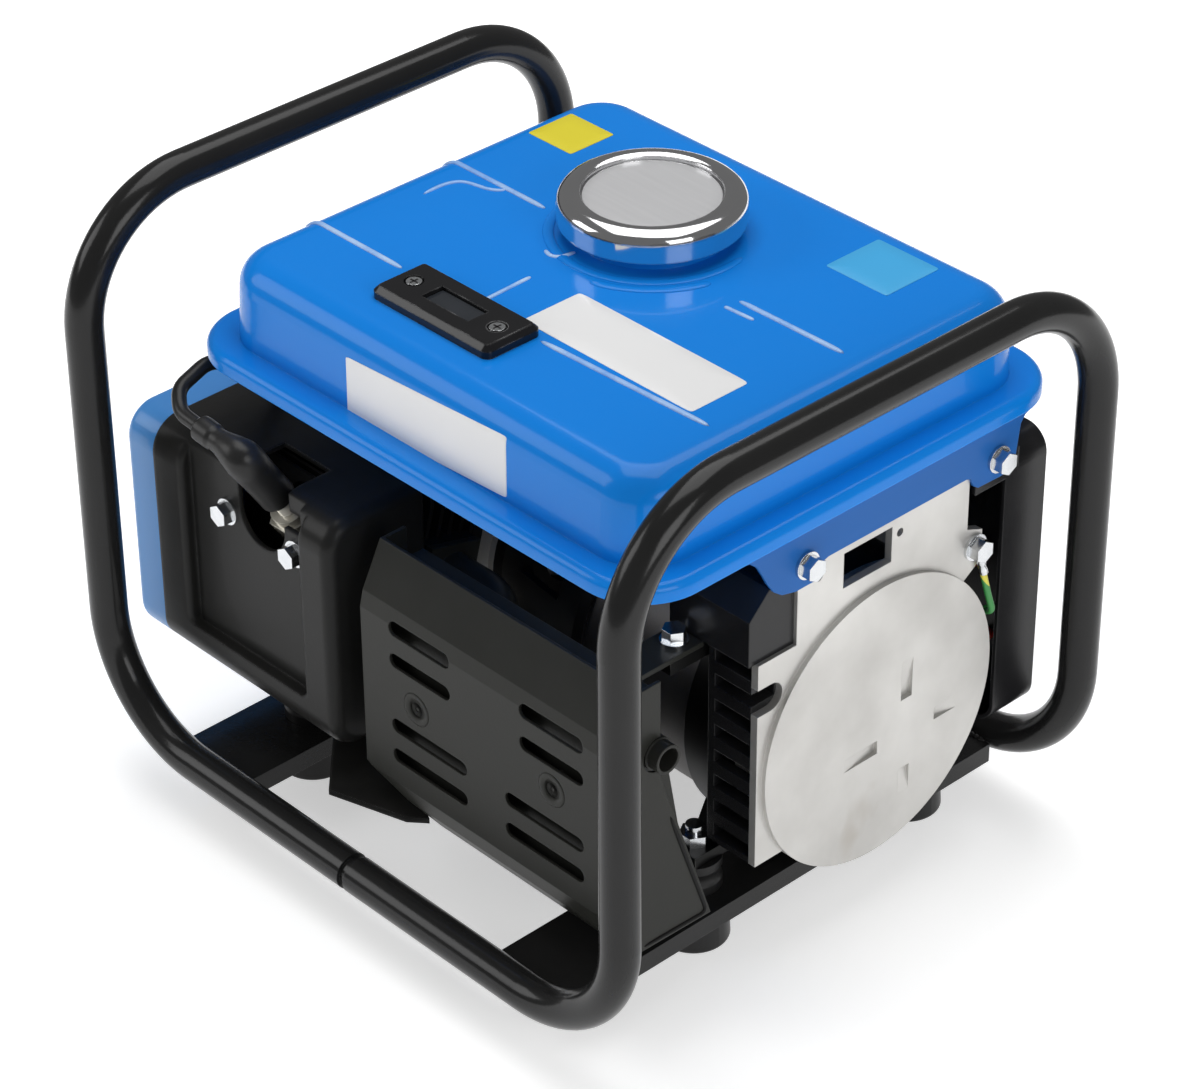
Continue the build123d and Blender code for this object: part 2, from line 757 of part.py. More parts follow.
def engine_bed():
    """Steel plate on the left isolators with a guide tongue towards the muffler."""
    plate = box(BED_LEFT_X, BED_RIGHT_X, BED_FRONT_Y, BED_BACK_Y, SEAT_Z, BED_TOP)
    root_x = BED_RIGHT_X - 20
    tongue = [
        (root_x, BED_FRONT_Y + 10),
        (root_x, BED_FRONT_Y - 8),
        (BED_RIGHT_X + 10, TONGUE_FRONT_Y),
        (TONGUE_TIP_X - 8, TONGUE_FRONT_Y + 12),
        (TONGUE_TIP_X, TONGUE_FRONT_Y + 19),
        (BED_RIGHT_X, BED_FRONT_Y + 10),
    ]
    plate += prism_z(tongue, SEAT_Z, BED_TOP)
    for x, y, _ in MOUNTS[:2]:
        plate -= rod_z(SEAT_Z - 1, BED_TOP + 1, x, y, STUD_R + HOLE_CLEAR)
    return plate


def crankcase():
    """Whole crankcase, before it is split at the cylinder's middle."""
    left = CYL_X - CASE_HALF
    right = CYL_X + CASE_HALF
    case = crank_rod(left, right, CASE_R)
    case += ENGINE * Pos(0, 0, DECK / 2) * Box(DECK_WIDTH, DECK_WIDTH, DECK)
    foot_x = CASE_FOOT_HALF_X
    foot_y = CASE_FOOT_HALF_Y
    foot_z = CRANK_Z - CASE_R / 2
    case += box(CYL_X - foot_x, CYL_X + foot_x, CRANK_Y - foot_y, CRANK_Y + foot_y, BED_TOP, foot_z)
    case += box(
        CYL_X - REED_BOSS, CYL_X + REED_BOSS, CRANK_Y, MANIFOLD_Y, CRANK_Z - REED_BOSS, CRANK_Z + REED_BOSS
    )
    case -= crank_rod(CYL_X - CRANK_HALF, CYL_X + CRANK_HALF, WEB_R + WEB_CLEAR)
    for side in (-1, 1):
        inner = CYL_X + side * CRANK_HALF
        outer = inner + side * BEARING_WIDTH
        case -= crank_rod(min(inner, outer), max(inner, outer), BEARING_R)
    case -= crank_rod(left - 1, right + 1, SHAFT_R + 1)
    case -= ENGINE * bar(0, DECK + 1, SLEEVE_R + SLIP_FIT)
    case -= rod_y(CRANK_Y, MANIFOLD_Y + 1, CYL_X, CRANK_Z, REED_PORT_R)
    return case


def main_bearings():
    """Two crank bearings and the tail bearing of the rotor."""
    rings = []
    for side in (-1, 1):
        inner = CYL_X + side * CRANK_HALF
        outer = inner + side * BEARING_WIDTH
        low = min(inner, outer)
        high = max(inner, outer)
        rings.append(crank_rod(low, high, BEARING_R) - crank_rod(low - 1, high + 1, SHAFT_R + RUN_FIT))
    tail = PLATE_BACK_X - TAIL_BEARING_WIDTH
    ring = crank_rod(tail, PLATE_BACK_X, TAIL_BEARING_R)
    rings.append(ring - crank_rod(tail - 1, PLATE_BACK_X + 1, SHAFT_R + RUN_FIT))
    return rings


def crankshaft():
    """Two half shafts, each with a full round web; the crank pin stays with the rod."""
    web_in = ROD_GAP / 2
    web_out = web_in + WEB_THICK
    left = crank_rod(CYL_X - web_out, CYL_X - web_in, WEB_R)
    left += crank_rod(CUP_BASE_X - CUP_WALL, CYL_X - web_out, SHAFT_R)
    right = crank_rod(CYL_X + web_in, CYL_X + web_out, WEB_R)
    right += crank_rod(CYL_X + web_out, PLATE_BACK_X - 1, SHAFT_R)
    return [left, right]


def piston():
    """Piston at bottom dead centre in the engine frame."""
    r = BORE_R - PISTON_CLEAR
    crown = REST_PIN + PISTON_CROWN
    skirt = REST_PIN - PISTON_SKIRT
    body = bar(skirt, crown, r) - bar(skirt - 1, crown - 2 * PISTON_WALL, r - PISTON_WALL)
    boss = Pos(0, 0, REST_PIN) * Rot(0, 90, 0) * Cylinder(PISTON_PIN_R + PISTON_WALL, 2 * r - 2)
    gap = ROD_GAP / 2 + 1
    boss -= Pos(0, 0, REST_PIN) * Box(2 * gap, 4 * PISTON_PIN_R, 4 * PISTON_PIN_R)
    body += boss & bar(skirt, crown, r)
    body -= Pos(0, 0, REST_PIN) * Rot(0, 90, 0) * Cylinder(PISTON_PIN_R, 3 * r)
    return ENGINE * body


def con_rod():
    """Connecting rod, its big end one crank radius below the crank line."""
    half = ROD_GAP / 2 - ROD_SIDE_CLEAR
    turn = Rot(0, 90, 0)
    big = Pos(0, 0, -CRANK_R) * turn * Cylinder(BIG_END_R, 2 * half)
    small = Pos(0, 0, REST_PIN) * turn * Cylinder(SMALL_END_R, 2 * half)
    beam = Pos(0, 0, (REST_PIN - CRANK_R) / 2) * Box(half, SMALL_END_R, REST_PIN + CRANK_R)
    rod = big + small + beam
    rod -= Pos(0, 0, -CRANK_R) * turn * Cylinder(CRANK_PIN_R, 4 * half)
    rod -= Pos(0, 0, REST_PIN) * turn * Cylinder(PISTON_PIN_R, 4 * half)
    return ENGINE * rod


def engine_pins():
    """Crank pin in the big end and piston pin in the small end."""
    turn = Rot(0, 90, 0)
    crank_pin = Pos(0, 0, -CRANK_R) * turn * Cylinder(CRANK_PIN_R, ROD_GAP - ROD_SIDE_CLEAR)
    piston_pin = Pos(0, 0, REST_PIN) * turn * Cylinder(PISTON_PIN_R, 2 * BORE_R - 4)
    return [ENGINE * crank_pin, ENGINE * piston_pin]


def cylinder():
    """Finned cylinder with its sleeve in the crankcase and an exhaust boss towards +X."""
    body = bar(SLEEVE_LOW, CYL_TOP, SLEEVE_R)
    body += Pos(0, 0, DECK + CYL_FLANGE / 2) * Box(DECK_WIDTH, DECK_WIDTH, CYL_FLANGE)
    low = DECK + CYL_FLANGE + FIN_PITCH - FIN_THICK
    count = int((CYL_TOP - low) // FIN_PITCH)
    half = FIN_WIDTH / 2
    for i in range(count):
        z = low + i * FIN_PITCH
        body += rounded_z(-half, half, -half, half, FIN_CORNER, z, z + FIN_THICK)
    boss = EXHAUST_BOSS
    body += Pos(EXHAUST_FACE / 2, 0, EXHAUST_HEIGHT) * Box(EXHAUST_FACE, 2 * boss, 2 * boss)
    body -= bar(SLEEVE_LOW - 1, CYL_TOP + 1, BORE_R)
    port = Cylinder(EXHAUST_R, 2 * EXHAUST_FACE - BORE_R)
    body -= Pos(EXHAUST_FACE, 0, EXHAUST_HEIGHT) * Rot(0, 90, 0) * port
    return ENGINE * body


def cylinder_head():
    """Finned head with a tilted plug hole."""
    half = FIN_WIDTH / 2
    body = rounded_z(-half, half, -half, half, FIN_CORNER, CYL_TOP, CYL_TOP + HEAD_BASE)
    body += bar(CYL_TOP, HEAD_TOP, HEAD_CORE_R)
    gap = (HEAD_HEIGHT - HEAD_BASE) / 2
    for i in (1, 2):
        top = CYL_TOP + HEAD_BASE + i * gap
        body += rounded_z(-half, half, -half, half, FIN_CORNER, top - FIN_THICK, top)
    body = ENGINE * body
    body += PLUG * bar(0, PLUG_REACH, PLUG_HEX_R)
    body -= PLUG * bar(PLUG_REACH, 3 * PLUG_REACH, PLUG_HEX_R + 2)
    body -= ENGINE * bar(CYL_TOP - 1, CYL_TOP + CHAMBER_DEPTH, CHAMBER_R)
    body -= ENGINE * bar(CYL_TOP - 60, CYL_TOP, 2 * FIN_WIDTH)
    body -= PLUG * bar(-2 * CHAMBER_DEPTH, PLUG_REACH + 1, PLUG_THREAD_R + SLIP_FIT)
    return body


def spark_plug():
    """Thread, hexagon, shell, insulator and terminal along the plug axis."""
    hex_top = PLUG_REACH + PLUG_HEX
    shell_top = hex_top + PLUG_SHELL
    tip = shell_top + INSULATOR
    body = bar(1, PLUG_REACH, PLUG_THREAD_R) + hex_bar(PLUG_REACH, hex_top, PLUG_HEX_R)
    body += bar(hex_top, shell_top, PLUG_SHELL_R) + bar(shell_top, tip, INSULATOR_R)
    return PLUG * body


def boot_points():
    """Elbow point of the boot on the plug axis, and the direction of its arm."""
    elbow = (PLUG * Pos(0, 0, BOOT_LOW + BOOT_RISE)).position
    tilt = radians(BOOT_ARM_TILT)
    return elbow, Vector(-cos(tilt), 0, sin(tilt))


def plug_boot():
    """Rubber elbow over the insulator's end, with an arm for the lead."""
    elbow, way = boot_points()
    bend = BOOT_LOW + BOOT_RISE
    body = PLUG * bar(BOOT_LOW, bend, BOOT_R) + PLUG * Pos(0, 0, bend) * Sphere(BOOT_R)
    body += facing(elbow, way) * bar(0, BOOT_ARM, BOOT_ARM_R)
    body += facing(elbow, way) * bar(BOOT_ARM - BOOT_CUFF, BOOT_ARM, BOOT_ARM_R + BOOT_CUFF_RISE)
    body -= PLUG * bar(BOOT_LOW - 1, BOOT_LOW - INSULATOR_SHOWN + INSULATOR, INSULATOR_R)
    return body - facing(elbow, way) * bar(BOOT_ARM - LEAD_SOCKET, BOOT_ARM + 1, LEAD_R)


def coil_point(r):
    """Point at a radius from the crank line, on the coil's middle line."""
    turn = radians(COIL_ANGLE)
    x = FAN_BACK_X - SHROUD_WALL - COIL_DEPTH / 2
    return Vector(x, CRANK_Y + r * cos(turn), CRANK_Z + r * sin(turn))


COIL_TOP_R = FLYWHEEL_R + COIL_GAP + COIL_LEG + COIL_BRIDGE
LEAD_HOLE_R = LEAD_R + 2.0


def lead_points():
    """Corners of the ignition lead: boot, a loop over the shroud's corner, then the coil."""
    elbow, way = boot_points()
    corner = Vector(SHROUD_LEFT_X, SHROUD_FRONT_Y, SHROUD_TOP_Z)
    return [
        elbow + way * (BOOT_ARM - LEAD_SOCKET),
        elbow + way * (BOOT_ARM + LEAD_SOCKET),
        *[corner + Vector(*step) for step in LEAD_LOOP],
        coil_point(COIL_TOP_R + LEAD_COIL_RUN),
        coil_point(COIL_TOP_R),
    ]


def ignition_coil():
    """Laminated core with two legs on the flywheel rim and a moulded winding between them."""
    legs = FLYWHEEL_R + COIL_GAP
    bridge = legs + COIL_LEG
    body = Pos(0, bridge + COIL_BRIDGE / 2, 0) * Box(COIL_DEPTH, COIL_BRIDGE, 2 * COIL_HALF_WIDTH)
    for side in (-1, 1):
        z = side * (COIL_HALF_WIDTH - COIL_BRIDGE / 2)
        body += Pos(0, legs + COIL_LEG / 2, z) * Box(COIL_DEPTH, COIL_LEG, COIL_BRIDGE)
    body += Pos(0, bridge - COIL_LEG / 4, 0) * Box(COIL_DEPTH, COIL_LEG / 2, 2 * COIL_BLOCK_HALF)
    return Pos(coil_point(0)) * Rot(COIL_ANGLE, 0, 0) * body


def flywheel():
    """Flywheel disc with fan blades towards the starter and a pressed cup on its hub."""
    body = crank_rod(DISC_LEFT_X, DISC_RIGHT_X, FLYWHEEL_R)
    body += crank_rod(CUP_BASE_X, DISC_RIGHT_X + 1, FLYWHEEL_HUB_R)
    body += crank_rod(CUP_BASE_X - CUP_WALL, CUP_BASE_X, CUP_R)
    cup = crank_rod(CUP_EDGE_X, CUP_BASE_X, CUP_R)
    body += cup - crank_rod(CUP_EDGE_X - 1, CUP_BASE_X + 1, CUP_R - CUP_WALL)
    blade_mid = FLYWHEEL_R - FAN_BLADE_LENGTH / 2 - 1
    blade = Box(FAN_BLADE_DEPTH, FAN_BLADE_LENGTH, FAN_BLADE_THICK)
    for i in range(FAN_BLADE_COUNT):
        turn = Rot(360 / FAN_BLADE_COUNT * i, 0, 0)
        x = DISC_LEFT_X - FAN_BLADE_DEPTH / 2
        body += Pos(x, CRANK_Y, CRANK_Z) * turn * Pos(0, blade_mid, 0) * blade
    return body - crank_rod(CUP_EDGE_X - 1, DISC_RIGHT_X + 2, SHAFT_R)


def flywheel_nut():
    """Nut that holds the flywheel on the crank's end."""
    seat = (CUP_BASE_X - CUP_WALL, CRANK_Y, CRANK_Z)
    return facing(seat, (-1, 0, 0)) * hex_bar(0, FLYWHEEL_NUT, FLYWHEEL_NUT_R)


def shroud_outline(x0, x1, inset=0, front=0):
    """Rounded block with the round fan case below it, both carried along X."""
    block = rounded_x(
        SHROUD_FRONT_Y + inset + front,
        SHROUD_BACK_Y - inset,
        SHROUD_LOW_Z + inset,
        SHROUD_TOP_Z - inset,
        SHROUD_CORNER - inset,
        x0,
        x1,
    )
    return block + crank_rod(x0, x1, FAN_CASE_R - inset)


def rope_way():
    """Start of the rope's straight run at the reel, and its direction past the frame leg."""
    turn = radians(GRIP_ANGLE)
    return Vector((REEL_LEFT_X + REEL_RIGHT_X) / 2, CRANK_Y, ROPE_Z), Vector(sin(turn), cos(turn), 0)


def rope_point(y):
    """Point on the rope's straight run at a given Y."""
    start, way = rope_way()
    return start + way * ((y - start.Y) / way.Y)


def recess_rim(edge, recess_y):
    """Tells whether an edge runs where the front recess's side walls meet the cowl's outside."""
    ends = [edge @ 0, edge @ 0.5, edge @ 1]
    on_wall = all(any(abs(p.X - x) < 1e-3 for x in (RECESS_LEFT_X, RECESS_RIGHT_X)) for p in ends)
    above = all(p.Z > RECESS_LOW_Z - 1e-3 for p in ends)
    return on_wall and above and (edge @ 0.5).Y < recess_y - 1e-3


def fan_shroud():
    """Sheet cowl that carries the fan's air from the flywheel to the cylinder head."""
    fan_wall = FAN_BACK_X - SHROUD_WALL
    floor = CRANK_Z - FAN_CASE_R - 1
    body = shroud_outline(SHROUD_LEFT_X, FAN_BACK_X)
    cowl = rounded_x(
        SHROUD_FRONT_Y, SHROUD_BACK_Y, SHROUD_LOW_Z, SHROUD_TOP_Z, SHROUD_CORNER, FAN_BACK_X, SHROUD_RIGHT_X
    )
    cowl = fillet(cowl.faces().sort_by(Axis.X)[-1].edges(), COWL_ROUND)
    top = SHROUD_TOP_Z + 1
    body += cowl - box(FAN_BACK_X - 1, SHROUD_RIGHT_X + 1, COWL_BACK_Y, SHROUD_BACK_Y + 1, floor, top)
    body -= shroud_outline(SHROUD_LEFT_X - 1, fan_wall, SHROUD_WALL, RECESS_DEPTH)
    space = shroud_outline(fan_wall - 1, SHROUD_RIGHT_X - SHROUD_WALL, SHROUD_WALL, RECESS_DEPTH)
    body -= space & box(fan_wall - 1, SHROUD_RIGHT_X, SHROUD_FRONT_Y, COWL_BACK_Y, floor, SHROUD_TOP_Z)
    recess_y = SHROUD_FRONT_Y + RECESS_DEPTH
    recess = box(RECESS_LEFT_X, RECESS_RIGHT_X, SHROUD_FRONT_Y - 1, recess_y, RECESS_LOW_Z, SHROUD_TOP_Z + 1)
    body -= recess
    rim = body.edges().filter_by(lambda edge: recess_rim(edge, recess_y))
    body = fillet(rim, RECESS_ROUND)
    body -= crank_rod(fan_wall - 1, FAN_BACK_X + 1, FAN_EYE_R)
    half = PLUG_NOTCH_HALF
    notch_y = SHROUD_FRONT_Y + PLUG_NOTCH_DEPTH
    notch_z = PLUG_NOTCH_LOW_Z + half
    body -= box(CYL_X - half, CYL_X + half, SHROUD_FRONT_Y - 1, notch_y, notch_z, SHROUD_TOP_Z + 1)
    body -= rod_y(SHROUD_FRONT_Y - 1, notch_y, CYL_X, notch_z, half)
    window_x = RECESS_RIGHT_X - RECESS_ROUND
    window_z = SHROUD_BOLT_Z + PLUG_WINDOW_RISE
    body -= box(CYL_X, window_x, recess_y - 1, recess_y + SHROUD_WALL + 1, window_z, SHROUD_TOP_Z + 1)
    above, below = lead_points()[-3:-1]
    body -= facing(below, above - below) * bar(-3, 18, LEAD_HOLE_R)
    body -= facing(rope_point(SHROUD_BACK_Y), rope_way()[1]) * bar(-9, 9, ROPE_HOLE_R)
    for point in SHROUD_BOLTS:
        body -= bolt_hole(point, (0, -1, 0))
    for point in LEG_BOLTS:
        body -= bolt_hole(point, (0, 0, 1))
    return body


def recoil_housing():
    """Recoil cover on the shroud's open side, with an axle for the reel."""
    block = rounded_x(
        SHROUD_FRONT_Y, SHROUD_BACK_Y, SHROUD_LOW_Z, SHROUD_TOP_Z, SHROUD_CORNER, RECOIL_END_X, SHROUD_LEFT_X
    )
    block = fillet(block.faces().sort_by(Axis.X)[0].edges(), RECOIL_EDGE)
    drum = crank_rod(RECOIL_END_X, SHROUD_LEFT_X, FAN_CASE_R)
    drum = chamfer(drum.faces().sort_by(Axis.X)[0].edges(), RECOIL_EDGE / 2)
    body = block + drum
    inner_x = RECOIL_END_X + RECOIL_WALL
    body -= shroud_outline(inner_x, SHROUD_LEFT_X + 1, RECOIL_WALL)
    slot = Box(4 * RECOIL_WALL, INLET_SLOT_LENGTH, INLET_SLOT_WIDTH)
    for i in range(INLET_SLOT_COUNT):
        turn = Rot(360 / INLET_SLOT_COUNT * i, 0, 0)
        body -= Pos(RECOIL_END_X, CRANK_Y, CRANK_Z) * turn * Pos(0, INLET_SLOT_RING_R, 0) * slot
    body += crank_rod(RECOIL_END_X + RECOIL_WALL / 2, REEL_RIGHT_X, AXLE_R)
    body -= facing(rope_point(SHROUD_BACK_Y), rope_way()[1]) * bar(-ROPE_TAIL, 0, ROPE_HOLE_R)
    return body - crank_rod(REEL_LEFT_X + 1, REEL_RIGHT_X + 1, BOLT_R)


def axle_screw():
    """Flat screw in the axle's end that keeps the reel on."""
    seat = REEL_RIGHT_X + LEVER_GAP / 2
    head = crank_rod(seat, seat + CUP_GAP, AXLE_R + 2.5)
    return head + crank_rod(REEL_LEFT_X + 2, seat, BOLT_R)


def recoil_reel():
    """Grooved reel on the axle, with a pin for the pawl."""
    body = crank_rod(REEL_LEFT_X, REEL_RIGHT_X, REEL_R)
    groove_x = REEL_LEFT_X + REEL_FLANGE
    groove = crank_rod(groove_x, REEL_RIGHT_X - REEL_FLANGE, REEL_R + 1)
    body -= groove - crank_rod(groove_x - 1, REEL_RIGHT_X, REEL_GROOVE_R)
    body -= crank_rod(REEL_LEFT_X - 1, REEL_RIGHT_X + 1, AXLE_R + RUN_FIT)
    pin_end = REEL_RIGHT_X + LEVER_GAP + PAWL_THICK
    return body + rod_x(REEL_RIGHT_X - REEL_FLANGE, pin_end, CRANK_Y + PAWL_RING_R, CRANK_Z, PAWL_PIN_R)


def starter_rope():
    """Two turns of rope lying in the reel's groove."""
    x = (REEL_LEFT_X + REEL_RIGHT_X) / 2
    turns = []
    for i in range(2):
        ring = REEL_GROOVE_R + ROPE_R + 0.05 + i * (2 * ROPE_R + 0.05)
        turns.append(Pos(x, CRANK_Y, CRANK_Z) * Rot(0, 90, 0) * Torus(ring, ROPE_R))
    return turns


def recoil_pawl():
    """Pawl on the reel's pin, inside the starter cup."""
    y = CRANK_Y + PAWL_RING_R
    low = REEL_RIGHT_X + LEVER_GAP
    high = low + PAWL_THICK
    half = PAWL_WIDTH / 2
    body = rod_x(low, high, y, CRANK_Z, PAWL_PIN_R + half - 0.4)
    body += box(low, high, y - half, y + half, CRANK_Z, CRANK_Z + PAWL_LENGTH)
    return body - rod_x(low - 1, high + 1, y, CRANK_Z, PAWL_PIN_R + RUN_FIT)


def starter_grip():
    """T grip on the rope's end, with the straight run of rope behind it."""
    way = rope_way()[1]
    foot = rope_point(SHROUD_BACK_Y + GRIP_REST_GAP)
    stem = facing(foot, way) * bar(0, GRIP_STEM + GRIP_R, GRIP_STEM_R)
    tail = facing(foot, way) * bar(-ROPE_TAIL, 1, ROPE_R)
    middle = foot + way * (GRIP_STEM + GRIP_R)
    half = GRIP_LENGTH / 2
    grip = rod_z(ROPE_Z - half, ROPE_Z + half, middle.X, middle.Y, GRIP_R)
    grip = fillet(grip.edges().filter_by(GeomType.CIRCLE), GRIP_R / 2)
    return grip + stem + tail


SHIELD_OUTLINE = [
    (MUFFLER_FRONT_Y + 13, MUFFLER_TOP_Z),
    (MUFFLER_FRONT_Y + 2, MUFFLER_TOP_Z - 22),
    (MUFFLER_FRONT_Y, MUFFLER_TOP_Z - 30),
    (MUFFLER_FRONT_Y, MUFFLER_LOW_Z + 20),
    (MUFFLER_FRONT_Y + 3, MUFFLER_LOW_Z + 10),
    (MUFFLER_FRONT_Y + 8, MUFFLER_LOW_Z + 2),
    (MUFFLER_FRONT_Y + 15, MUFFLER_LOW_Z - 3),
]
SHIELD_BACK = [
    (MUFFLER_BACK_Y + 2, MUFFLER_LOW_Z - 4),
    (MUFFLER_BACK_Y - 29, MUFFLER_LOW_Z + 87),
    (MUFFLER_BACK_Y - 29, MUFFLER_TOP_Z),
]
MUFFLER_OUTLINE = [
    (MUFFLER_BACK_Y - 25, MUFFLER_TOP_Z - 10),
    (MUFFLER_FRONT_Y + 17, MUFFLER_TOP_Z - 10),
    (MUFFLER_FRONT_Y + 7, MUFFLER_TOP_Z - 32),
    (MUFFLER_FRONT_Y + 7, MUFFLER_LOW_Z + 24),
    (MUFFLER_FRONT_Y + 18, MUFFLER_LOW_Z + 14),
    (MUFFLER_BACK_Y - 2, MUFFLER_LOW_Z),
]


def shrunk(points, d):
    """Polygon with every side moved inward by d."""
    area = sum(a[0] * b[1] - b[0] * a[1] for a, b in zip(points, points[1:] + points[:1]))
    d = d if area > 0 else -d
    lines = []
    for (ay, az), (by, bz) in zip(points, points[1:] + points[:1]):
        length = hypot(by - ay, bz - az)
        ny, nz = -(bz - az) / length, (by - ay) / length
        lines.append((ny, nz, ny * ay + nz * az + d))
    moved = []
    for (a, b, c), (e, f, g) in zip(lines[-1:] + lines[:-1], lines):
        det = a * f - b * e
        moved.append(((c * f - b * g) / det, (a * g - c * e) / det))
    return moved


def slot_y(x0, x1, z, y0, y1):
    """Round-ended slot along X, cut through along Y."""
    plane = Plane(origin=((x0 + x1) / 2, y0, z), x_dir=(-1, 0, 0), z_dir=(0, 1, 0))
    return extrude(plane * SlotOverall(x1 - x0, SLOT_WIDTH), amount=y1 - y0)


def muffler_shield():
    """Slotted sheet wrapped round the muffler's front, with an end plate on each side."""
    left = MUFFLER_LEFT_X
    right = MUFFLER_RIGHT_X
    body = prism_x(SHIELD_OUTLINE + SHIELD_BACK, left, right)
    back = MUFFLER_BACK_Y + 20
    inner = [(y + SHIELD_THICK, z) for y, z in SHIELD_OUTLINE]
    first = (inner[0][0], MUFFLER_TOP_Z + 5)
    last = (inner[-1][0], MUFFLER_LOW_Z - 5)
    inner = [first] + inner + [last, (back, MUFFLER_LOW_Z - 5), (back, MUFFLER_TOP_Z + 5)]
    body -= prism_x(inner, left + SHIELD_THICK, right - SHIELD_THICK)
    front = MUFFLER_FRONT_Y
    for z, long_row in SLOT_ROWS:
        length = SLOT_LONG if long_row else SLOT_SHORT
        body -= slot_y(left + SLOT_EDGE, left + SLOT_EDGE + length, z, front - 2, front + 5)
        body -= slot_y(right - SLOT_EDGE - length, right - SLOT_EDGE, z, front - 2, front + 5)
    for x, z in SHIELD_DIMPLES:
        body -= rod_y(front - 1, front + SHIELD_THICK / 2, x, z, SHIELD_DIMPLE_R)
    low = MUFFLER_LOW_Z - 5
    cut_z = MUFFLER_LOW_Z + SHIELD_CORNER_RISE
    body -= prism_y([(left - 1, cut_z), (left + SHIELD_CORNER_RUN, low), (left - 1, low)], front - 1, back)
    return body - rod_x(right - 5, right + 1, OUTLET_Y, OUTLET_Z, OUTLET_COLLAR_R + 1)


def muffler():
    """Hollow muffler with inlet pipe and flange, outlet stub and a strap to the alternator."""
    left = MUFFLER_LEFT_X + MUFFLER_END_GAP
    right = MUFFLER_RIGHT_X - MUFFLER_END_GAP
    wall = MUFFLER_WALL
    body = prism_x(MUFFLER_OUTLINE, left, right)
    port = (ENGINE * Pos(EXHAUST_FACE, 0, EXHAUST_HEIGHT)).position
    flange = ENGINE * Pos(EXHAUST_FACE + PIPE_FLANGE / 2, 0, EXHAUST_HEIGHT)
    body += flange * Box(PIPE_FLANGE, 2 * EXHAUST_BOSS, 2 * EXHAUST_BOSS)
    bend = Vector(PIPE_BEND_X, port.Y, port.Z)
    inlet = Vector(PIPE_BEND_X, MUFFLER_BACK_Y - 25, port.Z)
    body += tube([port + Vector(1, 0, 0), bend, inlet], PIPE_BEND_R, PIPE_R)
    body += rod_x(right - wall, MUFFLER_RIGHT_X, OUTLET_Y, OUTLET_Z, OUTLET_COLLAR_R)
    body += rod_x(right, MUFFLER_RIGHT_X + OUTLET_REACH, OUTLET_Y, OUTLET_Z, OUTLET_R)
    for x, z in SHIELD_DIMPLES:
        body += rod_y(MUFFLER_FRONT_Y + SHIELD_THICK, MUFFLER_FRONT_Y + 8, x, z, SHIELD_DIMPLE_R)
    strap_top = LUG_TOP_Z + STRAP_THICK
    strap_y = MUFFLER_BACK_Y - STRAP_LAP
    body += box(
        LUG_X - STRAP_HALF, LUG_X + STRAP_HALF, strap_y, STRAP_BOLT_Y + STRAP_HALF, LUG_TOP_Z, strap_top
    )
    body -= prism_x(shrunk(MUFFLER_OUTLINE, wall), left + wall, right - wall)
    body -= tube([port - Vector(1, 0, 0), bend, inlet], PIPE_BEND_R, PIPE_R - PIPE_WALL)
    outlet_r = OUTLET_R - OUTLET_WALL
    body -= rod_x(right - 2 * wall, MUFFLER_RIGHT_X + OUTLET_REACH + 1, OUTLET_Y, OUTLET_Z, outlet_r)
    return body - bolt_hole(STRAP_BOLT, (0, 0, 1))


def reed_manifold():
    """Short intake stub between the reed port and the carburettor."""
    thick = MANIFOLD_FLANGE
    body = rod_y(MANIFOLD_Y, CARB_Y, CYL_X, CRANK_Z, REED_PORT_R + 1)
    for half, y in ((REED_BOSS, MANIFOLD_Y), (CARB_HALF, CARB_Y - thick)):
        body += box(CYL_X - half, CYL_X + half, y, y + thick, CRANK_Z - half, CRANK_Z + half)
    return body - rod_y(MANIFOLD_Y - 1, CARB_Y + 1, CYL_X, CRANK_Z, CARB_THROAT_R)


CHOKE_Y = CARB_Y + CHOKE_OFFSET
THROTTLE_Y = CARB_Y + THROTTLE_OFFSET
INLET_Z = CRANK_Z - INLET_DROP


def carburettor():
    """Carburettor body with throat, float bowl, fuel nipple and two shaft holes."""
    half = CARB_HALF
    body = box(CYL_X - half, CYL_X + half, CARB_Y, FILTER_Y, CRANK_Z - half, CRANK_Z + half)
    bowl_top = CRANK_Z - half + 1
    body += rod_z(bowl_top - BOWL_DEPTH, bowl_top, CYL_X, CARB_Y + CARB_LENGTH / 2, BOWL_R - 1.5)
    body += rod_x(CYL_X + half - 1, CYL_X + half + INLET_REACH, TAP_Y, INLET_Z, TAP_SPIGOT_R)
    body -= rod_y(CARB_Y - 1, FILTER_Y + 1, CYL_X, CRANK_Z, CARB_THROAT_R)
    hole = LEVER_PIN_R + RUN_FIT
    body -= rod_z(CRANK_Z - half / 2, CRANK_Z + half + 1, CYL_X, CHOKE_Y, hole)
    return body - rod_x(CYL_X - half - 1, CYL_X + half / 2, THROTTLE_Y, CRANK_Z, hole)


def choke_lever():
    """Upright choke shaft with an arm above the reed boss."""
    arm = CRANK_Z + REED_BOSS + CHOKE_LIFT
    low = CRANK_Z - CARB_HALF / 2 + LEVER_GAP
    body = rod_z(low, arm + LEVER_THICK, CYL_X, CHOKE_Y, LEVER_PIN_R)
    body += rod_z(arm, arm + LEVER_THICK, CYL_X, CHOKE_Y, LEVER_HALF)
    end = CYL_X + CHOKE_ARM - LEVER_HALF
    body += box(CYL_X, end, CHOKE_Y - LEVER_HALF, CHOKE_Y + LEVER_HALF, arm, arm + LEVER_THICK)
    return body + rod_z(arm, arm + LEVER_THICK, end, CHOKE_Y, LEVER_HALF)


